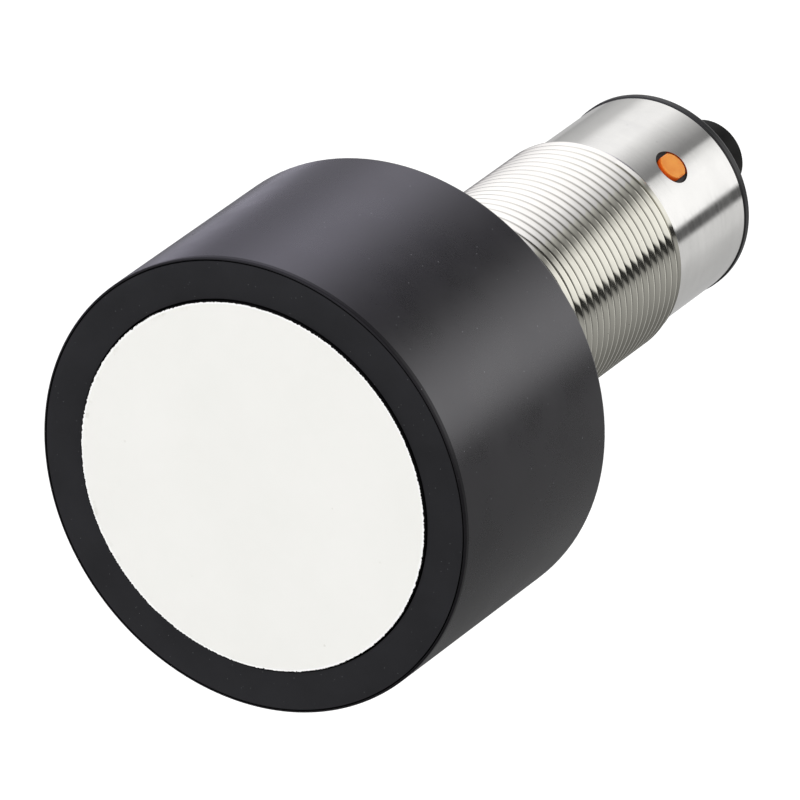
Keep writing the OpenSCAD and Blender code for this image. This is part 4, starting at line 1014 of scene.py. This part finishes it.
def paper_colour(bands, angle):
    """The colour of the paper at an angle: the shade of the list, cooler at the upper left."""
    tint = WHITE_PAPER
    if angle > COOL_FROM and bands is not FAR_BANDS:
        tint = COOL_PAPER if bands is MIDDLE_BANDS else PALE_BLUE_PAPER
    return (*[read_between(bands, angle) * part for part in tint], 1.0)


print("stops in the three lists:", len(FAR_BANDS), len(MIDDLE_BANDS), len(FRONT_BANDS))

# %% [markdown]
# The tunnel is a plain round tube of one strip for each degree. Along its length it has a few rings,
# and each ring takes its shades from one of the lists, so the paper changes softly from one list to
# the next. The shades are stored on the corners of the faces.

# %% Paint the paper tunnel
TUNNEL_R, TUNNEL_END = 0.30, 1.3
PLACES = [(-TUNNEL_END, FRONT_BANDS), (-0.10, FRONT_BANDS), (0.10, MIDDLE_BANDS), (0.37, MIDDLE_BANDS),
          (0.41, FAR_BANDS), (TUNNEL_END, FAR_BANDS)]
tunnel_mesh = bmesh.new()
shades = tunnel_mesh.loops.layers.float_color.new("shade")
lines = []
for angle in range(FIRST_ANGLE, LAST_ANGLE):
    turn = math.radians(angle)
    lines.append([tunnel_mesh.verts.new((TUNNEL_R * math.cos(turn), y, TUNNEL_R * math.sin(turn)))
                  for y, _ in PLACES])
for number, line in enumerate(lines):
    after = lines[(number + 1) % len(lines)]
    for step in range(len(PLACES) - 1):
        sheet = tunnel_mesh.faces.new((line[step], line[step + 1], after[step + 1], after[step]))
        for loop, (column, row) in zip(sheet.loops, ((0, step), (0, step + 1), (1, step + 1), (1, step))):
            loop[shades] = paper_colour(PLACES[row][1], FIRST_ANGLE + number + column)
tunnel = object_from(tunnel_mesh, "paper_tunnel")
print("tunnel strips:", len(lines))

# %% [markdown]
# The paper gives off its own shade, so no lamp has to light it. It is seen in reflections only: the
# camera, the soft light and the shadows pass through it.

# %% Light the paper
paper = bpy.data.materials.new("lit_paper")
paper.use_nodes = True
paper_tree = paper.node_tree
paper_tree.nodes.clear()
painted = add_node(paper_tree, "ShaderNodeVertexColor", layer_name="shade")
glow = add_node(paper_tree, "ShaderNodeEmission")
out = add_node(paper_tree, "ShaderNodeOutputMaterial")
paper_tree.links.new(painted.outputs["Color"], glow.inputs["Color"])
paper_tree.links.new(glow.outputs["Emission"], out.inputs["Surface"])
tunnel.data.materials.append(paper)
tunnel.visible_camera = tunnel.visible_diffuse = False
tunnel.visible_shadow = tunnel.visible_transmission = False
print("tunnel is", 2.0 * TUNNEL_R, "m across")

# %% [markdown]
# The lamps are large and soft. One hangs above, one stands at the front on the left for the white
# face, and one fills from the right. They are set so that a white surface comes out just under
# white, and no lamp shows as a hard spot.

# %% Soft lamps
def soft_lamp(name, where, size, watts):
    """A large flat lamp that looks at the sensor. Mirrors show the tunnel and not the lamp."""
    data = bpy.data.lights.new(name, "AREA")
    data.shape = "RECTANGLE"
    data.size, data.size_y = size
    data.energy = watts
    lamp = bpy.data.objects.new(name, data)
    lamp.location = where
    lamp.rotation_euler = (Vector(where) * -1.0).to_track_quat("-Z", "Y").to_euler()
    lamp.visible_glossy = lamp.visible_camera = False
    scene.collection.objects.link(lamp)


soft_lamp("lamp_above", (0.25, 0.3, 1.3), (1.2, 1.8), 6.0)
soft_lamp("lamp_front_left", (-0.9, -1.3, 0.8), (1.2, 1.2), 15.0)
soft_lamp("lamp_right", (1.3, -0.6, 0.3), (1.0, 1.2), 2.0)
print("lamps:", len(bpy.data.lights))
